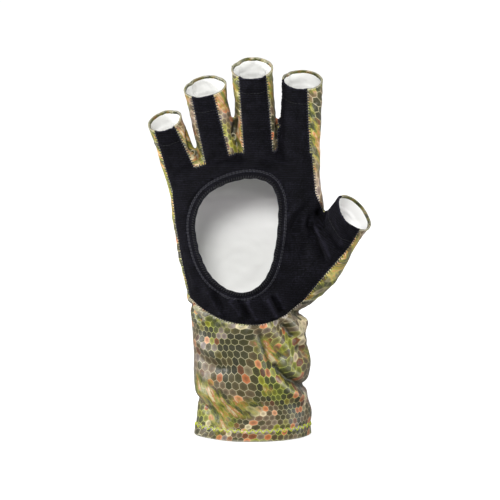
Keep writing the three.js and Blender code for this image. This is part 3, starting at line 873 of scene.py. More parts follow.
    def cloth_place(self, p: np.ndarray) -> np.ndarray:
        """Place of each point in the cloth laid flat.

        Args:
            p: Points on the glove.

        Returns:
            Two columns, across and along, in millimetres.
        """
        x, y, z = p.T
        turn = self.around_body(p)
        run = np.interp(turn, self.turns, self.run)
        hand = np.where(turn < -math.pi / 2.0, run + self.round, run)
        cuff = np.where(turn > CUFF_TURN, run - self.round, run)
        which = self.nearest_finger(p)
        finger_x = np.select([which == i for i in range(4)], [f.axis_x(z) for f in FINGERS.values()], x)
        angle = from_front(np.arctan2(y - lean(z), x - finger_x))
        centre = np.interp(np.arccos(np.clip(finger_x / 50.0, -1, 1)), self.turns, self.run)
        finger = centre + FINGER_ROUND * (angle - math.pi / 2.0)
        share = smoothstep(158.0, 176.0, z) * ((which >= 0) & (which < 4))
        u = np.where(self.cuff_line(p) < 0.0, cuff, hand * (1.0 - share) + finger * share)
        facing = unit(np.array(THUMB_ALONG))
        side = unit(np.cross([0.0, 1.0, 0.0], facing))
        up = unit(np.cross(facing, side))
        off = p - np.array(THUMB_MIDDLE)
        forward = off @ facing
        angle = from_front(np.arctan2(off @ up, off @ side))
        beside = np.linalg.norm(off - np.outer(forward, facing), axis=1)
        share = smoothstep(2.0, 12.0, forward) * (1.0 - smoothstep(15.5, 18.0, beside)) * (x > 38.0)
        u = u * (1.0 - share) + (40.0 + THUMB_ROUND * angle) * share
        v = z * (1.0 - share) + (THUMB_MIDDLE[2] + forward) * share
        return np.array([u, v]).T


@dataclass
class HandForm:
    """The whole glove as one closed skin: hand, cuff, fingers and thumb grown together and folded."""

    voxel: float = 1.05
    quick_voxel: float = 1.9
    smooth_rounds: int = 7
    smooth_share: float = 0.45
    body_levels: int = 46
    seam_dip: float = 0.42
    seam_width: float = 1.25
    fields: Fields = field(default_factory=Fields)

    def body_rings(self, sides: int) -> np.ndarray:
        """Sections of the hand and cuff, run on below the cuff."""
        rows = np.array(BODY)
        heights = np.concatenate([[-RUN_ON], np.linspace(0.0, rows[-1, 0], self.body_levels)])
        turns = 2.0 * math.pi * np.arange(sides) / sides
        across = np.sign(np.cos(turns)) * np.abs(np.cos(turns)) ** SQUARENESS
        deep = np.sign(np.sin(turns)) * np.abs(np.sin(turns)) ** SQUARENESS
        made = []
        for z in heights:
            left, right, front, back = (np.interp(max(z, 0.0), rows[:, 0], rows[:, k]) for k in (1, 2, 3, 4))
            x = (left + right) / 2.0 + across * (right - left) / 2.0
            y = (front + back) / 2.0 + deep * (back - front) / 2.0
            made.append(np.array([x, y, np.full(sides, z)]).T)
        return np.array(made)

    def thumb_rings(self, sides: int) -> np.ndarray:
        """Sections of the thumb, run on past its opening."""
        line = thumb_line(3)
        along = unit(line[-1, :3] - line[-3, :3])
        axis = np.vstack([line[:, :3], line[-1, :3] + along * RUN_ON])
        sizes = [(row[3], row[4]) for row in line] + [(line[-1, 3], line[-1, 4])]
        return ovals(axis, sizes, sides)

    def grown(self) -> Cloth:
        """Grows the tubes together into one closed skin."""
        parts = [raise_tube("hand_tube", self.body_rings(72))]
        parts += [raise_tube(name + "_tube", finger.rings(12, 40)) for name, finger in FINGERS.items()]
        parts.append(raise_tube("thumb_tube", self.thumb_rings(44)))
        work_on(*parts)
        bpy.ops.object.join()
        whole = parts[0]
        remesh = whole.modifiers.new("skin", "REMESH")
        remesh.mode = "VOXEL"
        remesh.voxel_size = self.voxel * MM
        bpy.ops.object.modifier_apply(modifier=remesh.name)
        points, faces = take_apart(whole)
        made = Cloth(points / MM, faces)
        made.smooth(self.smooth_rounds, self.smooth_share)
        return made

    def fold(self, cloth: Cloth) -> None:
        """Pushes the folds, lumps, seam dips and small waves into the skin."""
        fields, p = self.fields, cloth.points.copy()
        x, _, z = p.T
        normals = cloth.normals()
        lift = np.zeros(len(p))
        masks = {side: smoothstep(0.0, 0.45, side.value * normals[:, 1]) for side in (PALM, BACK)}
        masks[BOTH] = np.ones(len(p))
        for row in FOLDS:
            away, along = course_distance(x, z, row.course)
            ends = np.clip(5.0 * np.minimum(along, 1.0 - along) + 0.15, 0.0, 1.0)
            lift += row.height * bell(away, row.width) * ends * masks[row.facing]
        for lump in LUMPS:
            lift += lump.height * bell(np.linalg.norm(p - np.array(lump[:3]), axis=1), lump.reach)
        palm, cuff = fields.palm_line(p), fields.cuff_line(p)
        opening, egg = fields.opening_line(p), fields.egg_line(p)
        on_cuff, on_finger = smoothstep(2.0, -6.0, cuff), smoothstep(168.0, 182.0, z)
        for mask, waves in ((on_cuff, CUFF_WAVES), (1.0 - on_cuff, HAND_WAVES), (on_finger, FINGER_WAVES)):
            for wave in waves:
                lift += wave.over(p, mask)
        for seam in [palm, cuff, *(fields.web_line(p, web) for web in WEBS)]:
            lift -= self.seam_dip * bell(np.abs(seam), self.seam_width)
            lift += SEAM_WAVE.over(p, bell(np.abs(seam), 5.0))
        lift += 0.22 * smoothstep(-OPENING_HEM - 0.6, -OPENING_HEM + 0.5, opening)
        lift -= 0.34 * bell(opening + OPENING_HEM, 0.75)
        lift += 0.3 * smoothstep(-2.0, 0.0, opening)
        band = egg - BINDING_WIDTH
        lift += 0.55 * smoothstep(0.6, -0.8, band) - 0.9 * bell(band, 0.9)
        lift += 0.2 * bell(egg - 2.6, 1.0) + 0.45 * bell(egg - 0.8, 1.2)
        lift += BINDING_WAVE.over(p, bell(egg, 4.0))
        hem = fields.edge_line(p) - HEM_HEIGHT
        lift += 0.35 * smoothstep(0.6, -0.6, hem) - 0.35 * bell(hem, 0.8)
        lift += HEM_WAVE.over(p, smoothstep(12.0, 0.0, z))
        cloth.points = p + normals * lift[:, None]

    def cut(self, cloth: Cloth) -> dict[str, Cloth]:
        """Cuts the skin along every seam and opening.

        Args:
            cloth: The folded skin.

        Returns:
            The pieces by the name of the node that each stands for.
        """
        fields = self.fields
        lines: dict[str, Callable[[np.ndarray], np.ndarray]] = {
            "edge": fields.edge_line,
            "cuff_hem": lambda p: fields.edge_line(p) - HEM_HEIGHT,
            "cuff": fields.cuff_line,
            "egg": lambda p: fields.egg_line(p) - 0.25 * np.sin(p[:, 0] * 0.9) * np.cos(p[:, 2] * 0.7),
            "palm_opening_binding": lambda p: fields.egg_line(p) - BINDING_WIDTH,
            "palm_panel": fields.palm_line,
            "opening": fields.opening_line,
            **{web.name: lambda p, web=web: fields.web_line(p, web) for web in WEBS},
            "turn": lambda p: fields.opening_line(p) + OPENING_TURN,
        }
        for line in lines.values():
            cloth.split(line(cloth.points))
        middle = cloth.middles()
        away = {name: line(middle) for name, line in lines.items()}
        kept = (away["edge"] > 0.0) & (away["egg"] > 0.0) & (away["opening"] < 0.0)
        label = np.full(len(middle), "back_panel", dtype=object)
        for name in (*(web.name for web in WEBS), "palm_panel", "palm_opening_binding", "cuff", "cuff_hem"):
            label[away[name] < 0.0] = name
        made = {}
        for name in sorted(set(label[kept])):
            used, index = np.unique(cloth.faces[kept & (label == name)], return_inverse=True)
            made[name] = Cloth(cloth.points[used], index.reshape(-1, 3))
        return made


class Sock:
    """A value in a material that Python's operators work on."""

    def __init__(self, shader: "Shader", socket: bpy.types.NodeSocket) -> None:
        """Wraps an output socket."""
        self.shader = shader
        self.socket = socket

    def __add__(self, other: "Sock | float") -> "Sock":
        """This plus other."""
        return self.shader.math("ADD", self, other)

    def __mul__(self, other: "Sock | float") -> "Sock":
        """This times other."""
        return self.shader.math("MULTIPLY", self, other)

    def __sub__(self, other: "Sock | float") -> "Sock":
        """This less other."""
        return self.shader.math("SUBTRACT", self, other)

    def __lt__(self, other: "Sock | float") -> "Sock":
        """One where this is under other."""
        return self.shader.math("LESS_THAN", self, other)

    def step(self, low: float, high: float) -> "Sock":
        """A soft step from 0 at low to 1 at high."""
        settings = {"interpolation_type": "SMOOTHSTEP"}
        return self.shader.node("ShaderNodeMapRange", settings, {0: self, 1: low, 2: high, 3: 0.0, 4: 1.0})


class Shader:
    """One material and the nodes that it is made of."""

    def __init__(self, name: str) -> None:
        """Starts a material with its surface shader."""
        self.material = bpy.data.materials.new(name)
        self.material.use_nodes = True
        self.tree = self.material.node_tree
        self.surface = self.tree.nodes["Principled BSDF"]

    def node(
        self,
        kind: str,
        settings: dict[str, object] | None = None,
        values: dict | None = None,
        out: int | str = 0,
    ) -> Sock:
        """Adds a node.

        Args:
            kind: The node's type.
            settings: What is set on the node first; a ramp's stops go under "stops".
            values: Values or links for its input sockets.
            out: The output that is wanted.

        Returns:
            That output.
        """
        made = self.tree.nodes.new(kind)
        for key, value in (settings or {}).items():
            if key == "stops":
                ramp = made.color_ramp
                for i, (place, colour) in enumerate(value):
                    stop = ramp.elements[i] if i < 2 else ramp.elements.new(place)
                    stop.position = place
                    stop.color = (*colour, 1.0)
            else:
                setattr(made, key, value)
        for key, value in (values or {}).items():
            self.feed(made.inputs[key], value)
        return Sock(self, made.outputs[out])

    def feed(self, target: bpy.types.NodeSocket, value: object) -> None:
        """Sets a socket to a value or links it."""
        if isinstance(value, Sock):
            self.tree.links.new(value.socket, target)
        elif isinstance(value, tuple) and len(value) == 3 and target.type == "RGBA":
            target.default_value = (*value, 1.0)
        else:
            target.default_value = value

    def set(self, **values: object) -> None:
        """Sets or links the surface's own sockets, named with _ for a space."""
        for key, value in values.items():
            self.feed(self.surface.inputs[key.replace("_", " ")], value)

    def math(self, operation: str, *values: object) -> Sock:
        """A Math node."""
        return self.node("ShaderNodeMath", {"operation": operation}, dict(enumerate(values)))

    def vector(self, operation: str, *values: object) -> Sock:
        """A Vector Math node."""
        out = 1 if operation == "LENGTH" else 0
        return self.node("ShaderNodeVectorMath", {"operation": operation}, dict(enumerate(values)), out)

    def mix(self, share: object, first: object, second: object) -> Sock:
        """Mixes two colours."""
        settings = {"data_type": "RGBA", "clamp_factor": True}
        return self.node("ShaderNodeMix", settings, {0: share, 6: first, 7: second}, 2)

    def layers(self, base: object, *coats: tuple[object, object]) -> Sock:
        """Lays colours over a base one after another, each as far as its share says."""
        for share, colour in coats:
            base = self.mix(share, base, colour)
        return base

    def ramp(self, value: Sock, stops: Stops) -> Sock:
        """Colours along a value."""
        return self.node("ShaderNodeValToRGB", {"stops": stops}, {0: value})

    def noise(
        self, place: Sock, scale: float, detail: float = 2.0, rough: float = 0.5, out: int = 0
    ) -> Sock:
        """Soft noise at a place."""
        values = {"Vector": place, "Scale": scale, "Detail": detail, "Roughness": rough}
        return self.node("ShaderNodeTexNoise", None, values, out)

    def moved(self, place: Sock, x: float, y: float) -> Sock:
        """A place moved across and along the cloth."""
        return self.vector("ADD", place, (x, y, 0.0))

    def chance(self, count: Sock) -> Sock:
        """A number from 0 to 1, drawn for each whole number."""
        return self.node("ShaderNodeTexWhiteNoise", None, {"Vector": count})

    def cloth_place(self) -> Sock:
        """The place in the cloth laid flat, in millimetres."""
        uv = self.node("ShaderNodeUVMap", {"uv_map": "Cloth"})
        return self.vector("MULTIPLY", uv, (UV_SCALE, UV_SCALE, 0.0))

    def object_place(self) -> Sock:
        """The place on the object, in millimetres."""
        place = self.node("ShaderNodeTexCoord", None, None, "Object")
        return self.vector("MULTIPLY", place, (1.0 / MM,) * 3)

    def parts(self, place: Sock) -> list[Sock]:
        """The three numbers of a place."""
        split = self.tree.nodes.new("ShaderNodeSeparateXYZ")
        self.tree.links.new(place.socket, split.inputs[0])
        return [Sock(self, number) for number in split.outputs]

    def ridges(self, gain: float) -> Sock:
        """How far the cloth stands up at a place, about nought where it lies flat; it steers painted
        highlight on ridges and painted shade in hollows.
        """
        return (self.node("ShaderNodeNewGeometry", None, None, "Pointiness") - 0.5) * gain

    def bump(self, height: Sock, strength: float, distance: float) -> None:
        """Raises the surface by a height."""
        made = self.node(
            "ShaderNodeBump", None, {"Strength": strength, "Distance": distance * MM, "Height": height}
        )
        self.set(Normal=made)


@dataclass(frozen=True)
class BlackKnit:
    """Black ribbed knit of the palm, with a faint blue-violet cast."""

    name: str = "black_knit"
    dark: Triple = (0.0010, 0.0010, 0.0013)
    light: Triple = (0.0155, 0.0147, 0.0232)
    rib: float = 1.1
    wale: float = 0.8
    roughness: float = 0.82

    def material(self) -> bpy.types.Material:
        """Makes the material."""
        s = Shader(self.name)
        place = s.cloth_place()
        u, v, _ = s.parts(place)
        drift = s.noise(place, 0.25, 2.0) * 0.5
        ribs = s.math("SINE", (v + drift) * (2.0 * math.pi / self.rib))
        across = s.math("SINE", u * (2.0 * math.pi / self.wale))
        knit = (ribs * 0.5 + 0.5) * (across * 0.2 + 0.8)
        tone = knit * 0.4 + s.noise(place, 0.11, 3.0, 0.55) * 0.5 + s.noise(place, 1.0, 3.0, 0.85) * 1.5
        # Painted highlight on the ridges of folds and painted shade in their hollows, steered by the cloth's
        # pointiness.
        tone = tone + s.ridges(10.0).step(0.3, 1.3) * 1.1 - s.ridges(-10.0).step(0.3, 1.3) * 0.4
        s.set(
            Base_Color=s.mix(tone.step(0.95, 1.75), self.dark, self.light), Roughness=self.roughness,
            Specular_IOR_Level=0.08, Sheen_Weight=0.03, Sheen_Roughness=0.35,
            Sheen_Tint=(0.55, 0.52, 0.7, 1.0),
        )
        s.bump(knit * 0.25 + s.noise(place, 1.6, 4.0, 0.7) * 1.3, 0.8, 0.4)
        return s.material


@dataclass(frozen=True)
class PrintedKnit:
    """Satin knit printed with scale-like cells in woodland colours."""

    name: str
    cell: float = 4.25
    brushed: float = 0.56
    tint: Triple = (0.77, 0.74, 0.6)
    # Scale on the printed colour. The back and side copies are lifted as painted light on cloth that faces
    # away from the lamps, and the rim copy is lowered as painted shade on the turned-in edges.
    seed: float = 0.0
    line: float = 0.034
    roughness: float = 0.25

    @staticmethod
    def cells(s: Shader, place: Sock) -> tuple[Sock, Sock, Sock]:
        """The cells of the net.

        Args:
            s: The material.
            place: The place in the cloth, in cells.

        Returns:
            Distance out from a cell's middle, the cell's middle, and a whole number for the cell.
        """
        wide, tall = 0.5, math.sqrt(0.75)
        high, low = (wide, tall, 0.5), (-wide, -tall, -0.5)
        first = s.vector("WRAP", place, high, low)
        second = s.vector("WRAP", s.vector("SUBTRACT", place, (wide, tall, 0.0)), high, low)
        nearer = s.vector("LENGTH", first) < s.vector("LENGTH", second)
        settings = {"data_type": "VECTOR", "clamp_factor": True}
        off = s.node("ShaderNodeMix", settings, {0: nearer, 4: second, 5: first}, 1)
        middle = s.vector("SUBTRACT", place, off)
        x, y, _ = s.parts(s.vector("ABSOLUTE", off))
        out = s.math("MAXIMUM", x, x * wide + y * tall)
        halves = s.vector("MULTIPLY", middle, (1.0 / wide, 1.0 / tall, 0.0))
        return out, middle, s.vector("FLOOR", s.moved(halves, 0.5, 0.5))

    def strokes(self, s: Shader, flat: Sock) -> tuple[Sock, Sock]:
        """Where the print is brushed instead of scaled, and the colour there."""
        turned = s.node("ShaderNodeMapping", None, {"Vector": flat, "Rotation": (0.0, 0.0, 0.95)})
        brush = s.noise(s.vector("MULTIPLY", turned, (0.06, 0.2, 1.0)), 1.0, 4.0, 0.66)
        where = s.noise(s.moved(flat, 310.0, 170.0), 0.028, 2.0, 0.5)
        return where.step(self.brushed, self.brushed + 0.08) * 0.8, s.ramp(brush, STROKES)

    def material(self) -> bpy.types.Material:
        """Makes the material."""
        s = Shader(self.name)
        flat = s.moved(s.cloth_place(), self.seed, self.seed * 0.7)
        wander = s.vector("SUBTRACT", s.noise(flat, 0.016, 1.0, 0.4, out=1), (0.5, 0.5, 0.5))
        place = s.vector("ADD", flat, s.vector("MULTIPLY", wander, (34.0, 30.0, 0.0)))
        out, middle, count = self.cells(
            s, s.vector("MULTIPLY", place, (1.0 / self.cell, 1.0 / self.cell, 0.0))
        )
        chance, other = s.chance(count), s.chance(s.moved(count, 7.0, 31.0))
        zone_a = s.noise(middle, 0.12, 2.0, 0.45)
        zone_b = s.noise(s.moved(middle, 41.0, 13.0), 0.15, 2.0, 0.45)
        zone_c = s.noise(s.moved(middle, 83.0, 57.0), 0.2, 2.0, 0.5)
        zone_d = s.noise(s.moved(middle, 19.0, 91.0), 0.17, 1.0, 0.5)
        weave, tips = s.noise(flat, 2.2, 2.0, 0.6), s.noise(flat, 0.35, 3.0, 0.6)
        net = s.mix(zone_b.step(0.45, 0.62), (0.42, 0.39, 0.3), (0.5, 0.54, 0.15))
        printed = s.layers(
            s.ramp(zone_a * 0.75 + chance * 0.25, WOODLAND),
            ((zone_b * 0.85 + chance * 0.15).step(0.52, 0.6), s.ramp(zone_c * 0.5 + chance * 0.5, LIMES)),
            (
                (zone_d * 0.8 + other * 0.2).step(0.6, 0.65),
                s.mix(other, (0.14, 0.095, 0.11), (0.33, 0.27, 0.29)),
            ),
            ((chance + zone_c * 1.1).step(1.38, 1.41), s.ramp(other, RUSTS)),
            (
                (zone_c * 0.85 + other * 0.15).step(0.63, 0.66),
                s.mix(chance, (0.72, 0.66, 0.45), (0.85, 0.7, 0.56)),
            ),
            (tips.step(0.5, 0.8) * 0.4, (0.05, 0.055, 0.015)),
            (out.step(0.46, 0.1) * 0.5, (0.02, 0.018, 0.006)),
            (out.step(0.5 - self.line * 1.4, 0.5 - self.line * 0.6), net),
            self.strokes(s, flat),
            (weave.step(0.35, 0.75) * 0.08, (0.6, 0.59, 0.5)),
        )
        # Painted light from the cloth's shape: painted shade along the sharpest edges, such as the rims of
        # the openings, a painted highlight on the ridges of folds and painted shade in their hollows.
        rise = s.ridges(10.0)
        shaded_print = s.layers(
            s.vector("MULTIPLY", printed, self.tint),
            (rise.step(1.0, 2.2) * 0.75, (0.035, 0.038, 0.012)),
            (rise.step(0.1, 0.9) * rise.step(1.4, 0.9) * 0.4, (0.72, 0.68, 0.52)),
            (rise.step(-0.02, -0.45) * 0.85, (0.012, 0.014, 0.004)),
        )
        u, v, _ = s.parts(s.cloth_place())
        knit = s.math("SINE", v * 7.0) * s.math("SINE", u * 8.2)
        s.set(
            Base_Color=shaded_print, Roughness=weave * 0.18 + self.roughness, Specular_IOR_Level=0.5,
            Sheen_Weight=0.12, Sheen_Roughness=0.4,
        )
        s.bump(knit * 0.25 + weave * 0.6 + out * 0.2, 0.4, 0.25)
        return s.material


@dataclass(frozen=True)
class Lining:
    """Off-white wrong side of the printed knit, with a painted glow that stands for the light coming through
    the cloth.
    """

    name: str = "lining_white"
    colour: Triple = (0.8, 0.8, 0.775)
    top: float = 160.0

    def material(self) -> bpy.types.Material:
        """Makes the material."""
        s = Shader(self.name)
        weave = s.noise(s.cloth_place(), 1.8, 2.0, 0.6)
        height = s.parts(s.object_place())[2].step(0.0, self.top)
        # The emission is a painted glow that changes with height.
        s.set(
            Base_Color=s.mix(weave.step(0.3, 0.75) * 0.1, self.colour, (0.7, 0.7, 0.7)), Roughness=0.85,
            Specular_IOR_Level=0.2, Emission_Color=s.ramp(height, PAINTED_LINING_GLOW), Emission_Strength=1.0,
        )
        s.bump(weave, 0.25, 0.2)
        return s.material


@dataclass(frozen=True)
class Thread:
    """A sewing thread of one colour."""

    name: str
    colour: Triple
    roughness: float = 0.6

    def material(self) -> bpy.types.Material:
        """Makes the material."""
        s = Shader(self.name)
        twist = s.noise(s.object_place(), 2.5, 1.0).step(0.35, 0.7)
        darker = tuple(c * 0.6 for c in self.colour)
        s.set(
            Base_Color=s.mix(twist, self.colour, darker), Roughness=self.roughness, Specular_IOR_Level=0.35
        )
        return s.material


FINISHES = (
    BlackKnit(),
    PrintedKnit("printed_knit_cuff"),
    PrintedKnit("printed_knit_hem"),
    # Lit and shaded copies of the same print: the back and side copies are lifted as painted light, and the
    # rim copy is darkened as painted shade.
    PrintedKnit("printed_knit_back", 4.9, 0.44, (1.55, 1.45, 1.2), 37.0),
    PrintedKnit("printed_knit_side", 4.6, 0.44, (1.15, 1.05, 0.9), 71.0),
    PrintedKnit("printed_knit_rim", 3.0, 0.3, (0.36, 0.36, 0.17), 15.0),
    Lining(),
    Thread("thread_black", (0.026, 0.026, 0.037)),
    Thread("thread_dark", (0.006, 0.006, 0.008)),
    Thread("thread_lime", (0.5, 0.56, 0.03)),
    Thread("thread_cream", (0.36, 0.33, 0.22)),
)


@dataclass(frozen=True)
class Panel:
    """One piece of sewn cloth: the node it stands for, its slot, its wall and its finishes."""

    node: str
    slot: str
    wall: float
    outer: str
    inner: str
    rim: str

    def lay_flat(self, made: bpy.types.Object, places: np.ndarray, faces: np.ndarray, whole: float) -> None:
        """Gives each corner its place in the cloth laid flat.

        Args:
            made: The piece.
            places: The place of each point, across and along.
            faces: The triangles.
            whole: The way once round the cloth, added where a triangle lies over the join.
        """
        corner = places[faces].copy()
        across = corner[:, :, 0]
        high, low = across.max(axis=1, keepdims=True), across.min(axis=1, keepdims=True)
        behind = (high - low > WRAP_GAP) & (high - across > WRAP_GAP)
        corner[:, :, 0] = np.where(behind, across + whole, across)
        layer = made.data.uv_layers.new(name="Cloth")
        layer.data.foreach_set("uv", (corner / UV_SCALE).astype(np.float32).ravel())

    def build(self, cloth: Cloth, fields: Fields, finishes: dict[str, bpy.types.Material]) -> None:
        """Gives a cut piece its wall and finish.

        Args:
            cloth: The outside of the piece, in millimetres.
            fields: The lines that part the panels.
            finishes: The materials by name.
        """
        made = put_together(self.node + "_cloth", cloth.points, cloth.faces)
        self.lay_flat(made, fields.cloth_place(cloth.points), cloth.faces, fields.round)
        for finish in (self.outer, self.inner, self.rim):
            made.data.materials.append(finishes[finish])
        work_on(made)
        bpy.ops.object.mode_set(mode="EDIT")
        bpy.ops.mesh.select_all(action="SELECT")
        bpy.ops.mesh.remove_doubles(threshold=0.12 * MM)
        bpy.ops.mesh.dissolve_degenerate(threshold=0.02 * MM)
        bpy.ops.object.mode_set(mode="OBJECT")
        count = len(made.data.polygons)
        wall = made.modifiers.new("wall", "SOLIDIFY")
        wall.thickness = self.wall * MM
        wall.offset = -1.0
        wall.material_offset = 1
        wall.material_offset_rim = 2
        bpy.ops.object.modifier_apply(modifier=wall.name)
        self.turn_edges(made.data, count, fields)
        fit_out(made, self.node)
        log.info("%s: %d faces", made.name, len(made.data.polygons))

    @staticmethod
    def turn_edges(mesh: bpy.types.Mesh, count: int, fields: Fields) -> None:
        """Gives the inside its rim finish along each finger opening, where the cloth is turned in.

        Args:
            mesh: The piece with its wall.
            count: How many faces its outside has; they come first, then the inside's in the same order.
            fields: The lines that part the panels.
        """
        near = fields.opening_line(read(mesh.polygons, "center")[:count] / MM) > -OPENING_TURN
        index = read(mesh.polygons, "material_index", 1, np.int32)[:, 0]
        index[count : 2 * count][near] = 2
        mesh.polygons.foreach_set("material_index", index)


PANELS = (
    Panel("cuff", "cuff", 1.1, "printed_knit_cuff", "lining_white", "printed_knit_cuff"),
    Panel("cuff_hem", "hem", 1.5, "printed_knit_hem", "lining_white", "printed_knit_hem"),
    Panel("palm_panel", "palm", 1.1, "black_knit", "black_knit", "black_knit"),
    Panel("palm_opening_binding", "binding", 1.8, "black_knit", "black_knit", "black_knit"),
    Panel("back_panel", "back", 1.1, "printed_knit_back", "lining_white", "printed_knit_rim"),
    *(
        Panel(web.name, "fourchettes", 1.1, "printed_knit_side", "lining_white", "printed_knit_rim")
        for web in WEBS
    ),
)


class StitchKind(Enum):
    """How a row of stitches is laid along its line."""

    ROW = "row"
    ZIGZAG = "zigzag"
    OVERLOCK = "overlock"


@dataclass(frozen=True)
class Stitches:
    """Stitches laid along lines on the cloth, one small thread loop copied to each place."""

    name: str
    kind: StitchKind
    pitch: float
    width: float
    radius: float
    finish: str
    slot: str
    sides: int = 6

    def loop(self) -> tuple[np.ndarray, np.ndarray]:
        """Models one stitch, a thread that dives into the cloth at both ends, one unit long along X.

        Returns:
            Its points and its triangles.
        """
        deselect()
        bpy.ops.mesh.primitive_cylinder_add(
            vertices=self.sides, radius=1.0, depth=1.0, rotation=(0.0, math.pi / 2.0, 0.0)
        )
        made = bpy.context.active_object
        bpy.ops.object.transform_apply(location=True, rotation=True, scale=True)
        bpy.ops.object.mode_set(mode="EDIT")
        for end in (-1.0, 1.0):
            select_end(made, 0, end * 0.49)
            bpy.ops.mesh.extrude_region_move(TRANSFORM_OT_translate={"value": (end * 0.25, 0.0, -0.6)})
            bpy.ops.transform.resize(value=(1.0, 0.7, 0.7))
        bpy.ops.object.mode_set(mode="OBJECT")
        return take_apart(made)

    def places(self, line: Line) -> list[tuple[np.ndarray, np.ndarray, np.ndarray, float]]:
        """Where the stitches of a line lie: middle, direction, normal and length of each."""
        spaced = line.spaced(self.pitch)
        points, normals = spaced.points, spaced.normals
        ahead = np.roll(points, -1, axis=0) - points
        if not line.closed:
            ahead[-1] = ahead[-2]
        aside = unit(np.cross(normals, unit(ahead)))
        made = []
        for i in range(len(points) if line.closed else len(points) - 1):
            n = (i + 1) % len(points)
            if self.kind is StitchKind.ROW:
                start, end = points[i] + ahead[i] * 0.12, points[i] + ahead[i] * 0.88
            elif self.kind is StitchKind.ZIGZAG:
                way = self.width / 2.0 * (1.0 if i % 2 else -1.0)
                start, end = points[i] + aside[i] * way, points[n] - aside[n] * way
            else:
                start = points[i] - aside[i] * self.width / 2.0
                end = points[i] + aside[i] * self.width / 2.0 + ahead[i] * 0.5
            length = float(np.linalg.norm(end - start))
            made.append(((start + end) / 2.0, unit(end - start), unit(normals[i] + normals[n]), length))
        return made

    def build(self, lines: Sequence[Line], tree: BVHTree, finish: bpy.types.Material) -> None:
        """Lays the stitches on the cloth, all in one object.

        Args:
            lines: The lines to follow.
            tree: The cloth's surface, to lay each stitch on.
            finish: The thread's material.
        """
        loop, faces = self.loop()
        points, triangles = [], []
        for line in lines:
            if line.length() < 2.5 * self.pitch:
                continue
            for middle, forward, normal, length in self.places(line):
                place, facing, _, _ = tree.find_nearest(Vector(middle))
                normal = unit(np.array(facing) if float(np.dot(facing, normal)) > 0.2 else normal)
                forward = unit(forward - normal * float(forward @ normal))
                aside = np.cross(normal, forward)
                local = loop * np.array([length * 0.72, self.radius, self.radius])
                placed = np.array(place) + normal * self.radius * 0.45
                triangles.append(faces + len(points) * len(loop))
                points.append(
                    placed + local[:, :1] * forward + local[:, 1:2] * aside + local[:, 2:] * normal
                )
        made = put_together(self.name, np.vstack(points), np.vstack(triangles))
        made.data.materials.append(finish)
        fit_out(made)
        log.info("%s: %d stitches", made.name, len(points))


STITCHES = (
    Stitches("stitch_palm_opening", StitchKind.ROW, 2.1, 0.0, 0.3, "thread_black", "binding"),
    Stitches("stitch_palm_opening_rim", StitchKind.OVERLOCK, 1.5, 1.9, 0.34, "thread_dark", "binding"),
    Stitches("stitch_palm_opening_cover", StitchKind.ZIGZAG, 1.3, 1.2, 0.24, "thread_dark", "binding"),
    Stitches("stitch_palm_seam", StitchKind.OVERLOCK, 1.7, 2.1, 0.3, "thread_black", "palm"),
    Stitches("stitch_wrist_seam", StitchKind.OVERLOCK, 1.6, 1.5, 0.22, "thread_dark", "palm"),
    Stitches("stitch_opening_hems", StitchKind.ROW, 1.9, 0.0, 0.2, "thread_dark", "palm"),
    Stitches("stitch_cuff_hem", StitchKind.ZIGZAG, 2.2, 2.8, 0.27, "thread_lime", "hem"),
)


def kept_runs(line: Line, keep: np.ndarray) -> list[Line]:
    """The stretches of a line where keep is true."""
    if keep.all():
        return [line]
    order = np.arange(len(keep))
    if line.closed:
        order = np.roll(order, -int(np.flatnonzero(~keep)[0]))
    runs: list[list[int]] = [[]]
    for i in order:
        if keep[i]:
            runs[-1].append(int(i))
        elif runs[-1]:
            runs.append([])
    return [Line(line.points[run], line.normals[run], False) for run in runs if len(run) > 4]


@dataclass(frozen=True)
class Tacks:
    """Small sewn-down loops where the strips between two fingers end at the palm."""

    places: tuple[tuple[float, float, float, float], ...] = (
        (-37.5, 176.0, 1.3, 0.3),
        (-12.2, 186.0, 1.45, -0.2),
    )
    thick: float = 0.36
    tall: float = 1.4

    def build(self, tree: BVHTree, finish: bpy.types.Material) -> None:
        """Lays each loop on the cloth and joins them.

        Args:
            tree: The cloth's surface.
            finish: The thread's material.
        """
        made = []
        for x, z, half, turn in self.places:
            place, facing, _, _ = tree.ray_cast(Vector((x, -FAR, z)), Vector((0.0, 1.0, 0.0)))
            deselect()
            bpy.ops.mesh.primitive_torus_add(
                major_segments=20, minor_segments=8, major_radius=half * MM, minor_radius=self.thick * MM,
                location=(place + facing * self.thick) * MM, rotation=(math.pi / 2.0, turn, 0.0),
            )
            bpy.ops.transform.resize(value=(1.0, 1.0, self.tall))
            bpy.ops.object.transform_apply(location=True, rotation=True, scale=True)
            made.append(bpy.context.active_object)
        work_on(*made)
        bpy.ops.object.join()
        whole = bpy.context.active_object
        whole.name = "crotch_tacks"
        whole.data.materials.append(finish)
        fit_out(whole)
        log.info("%s: %d loops", whole.name, len(made))


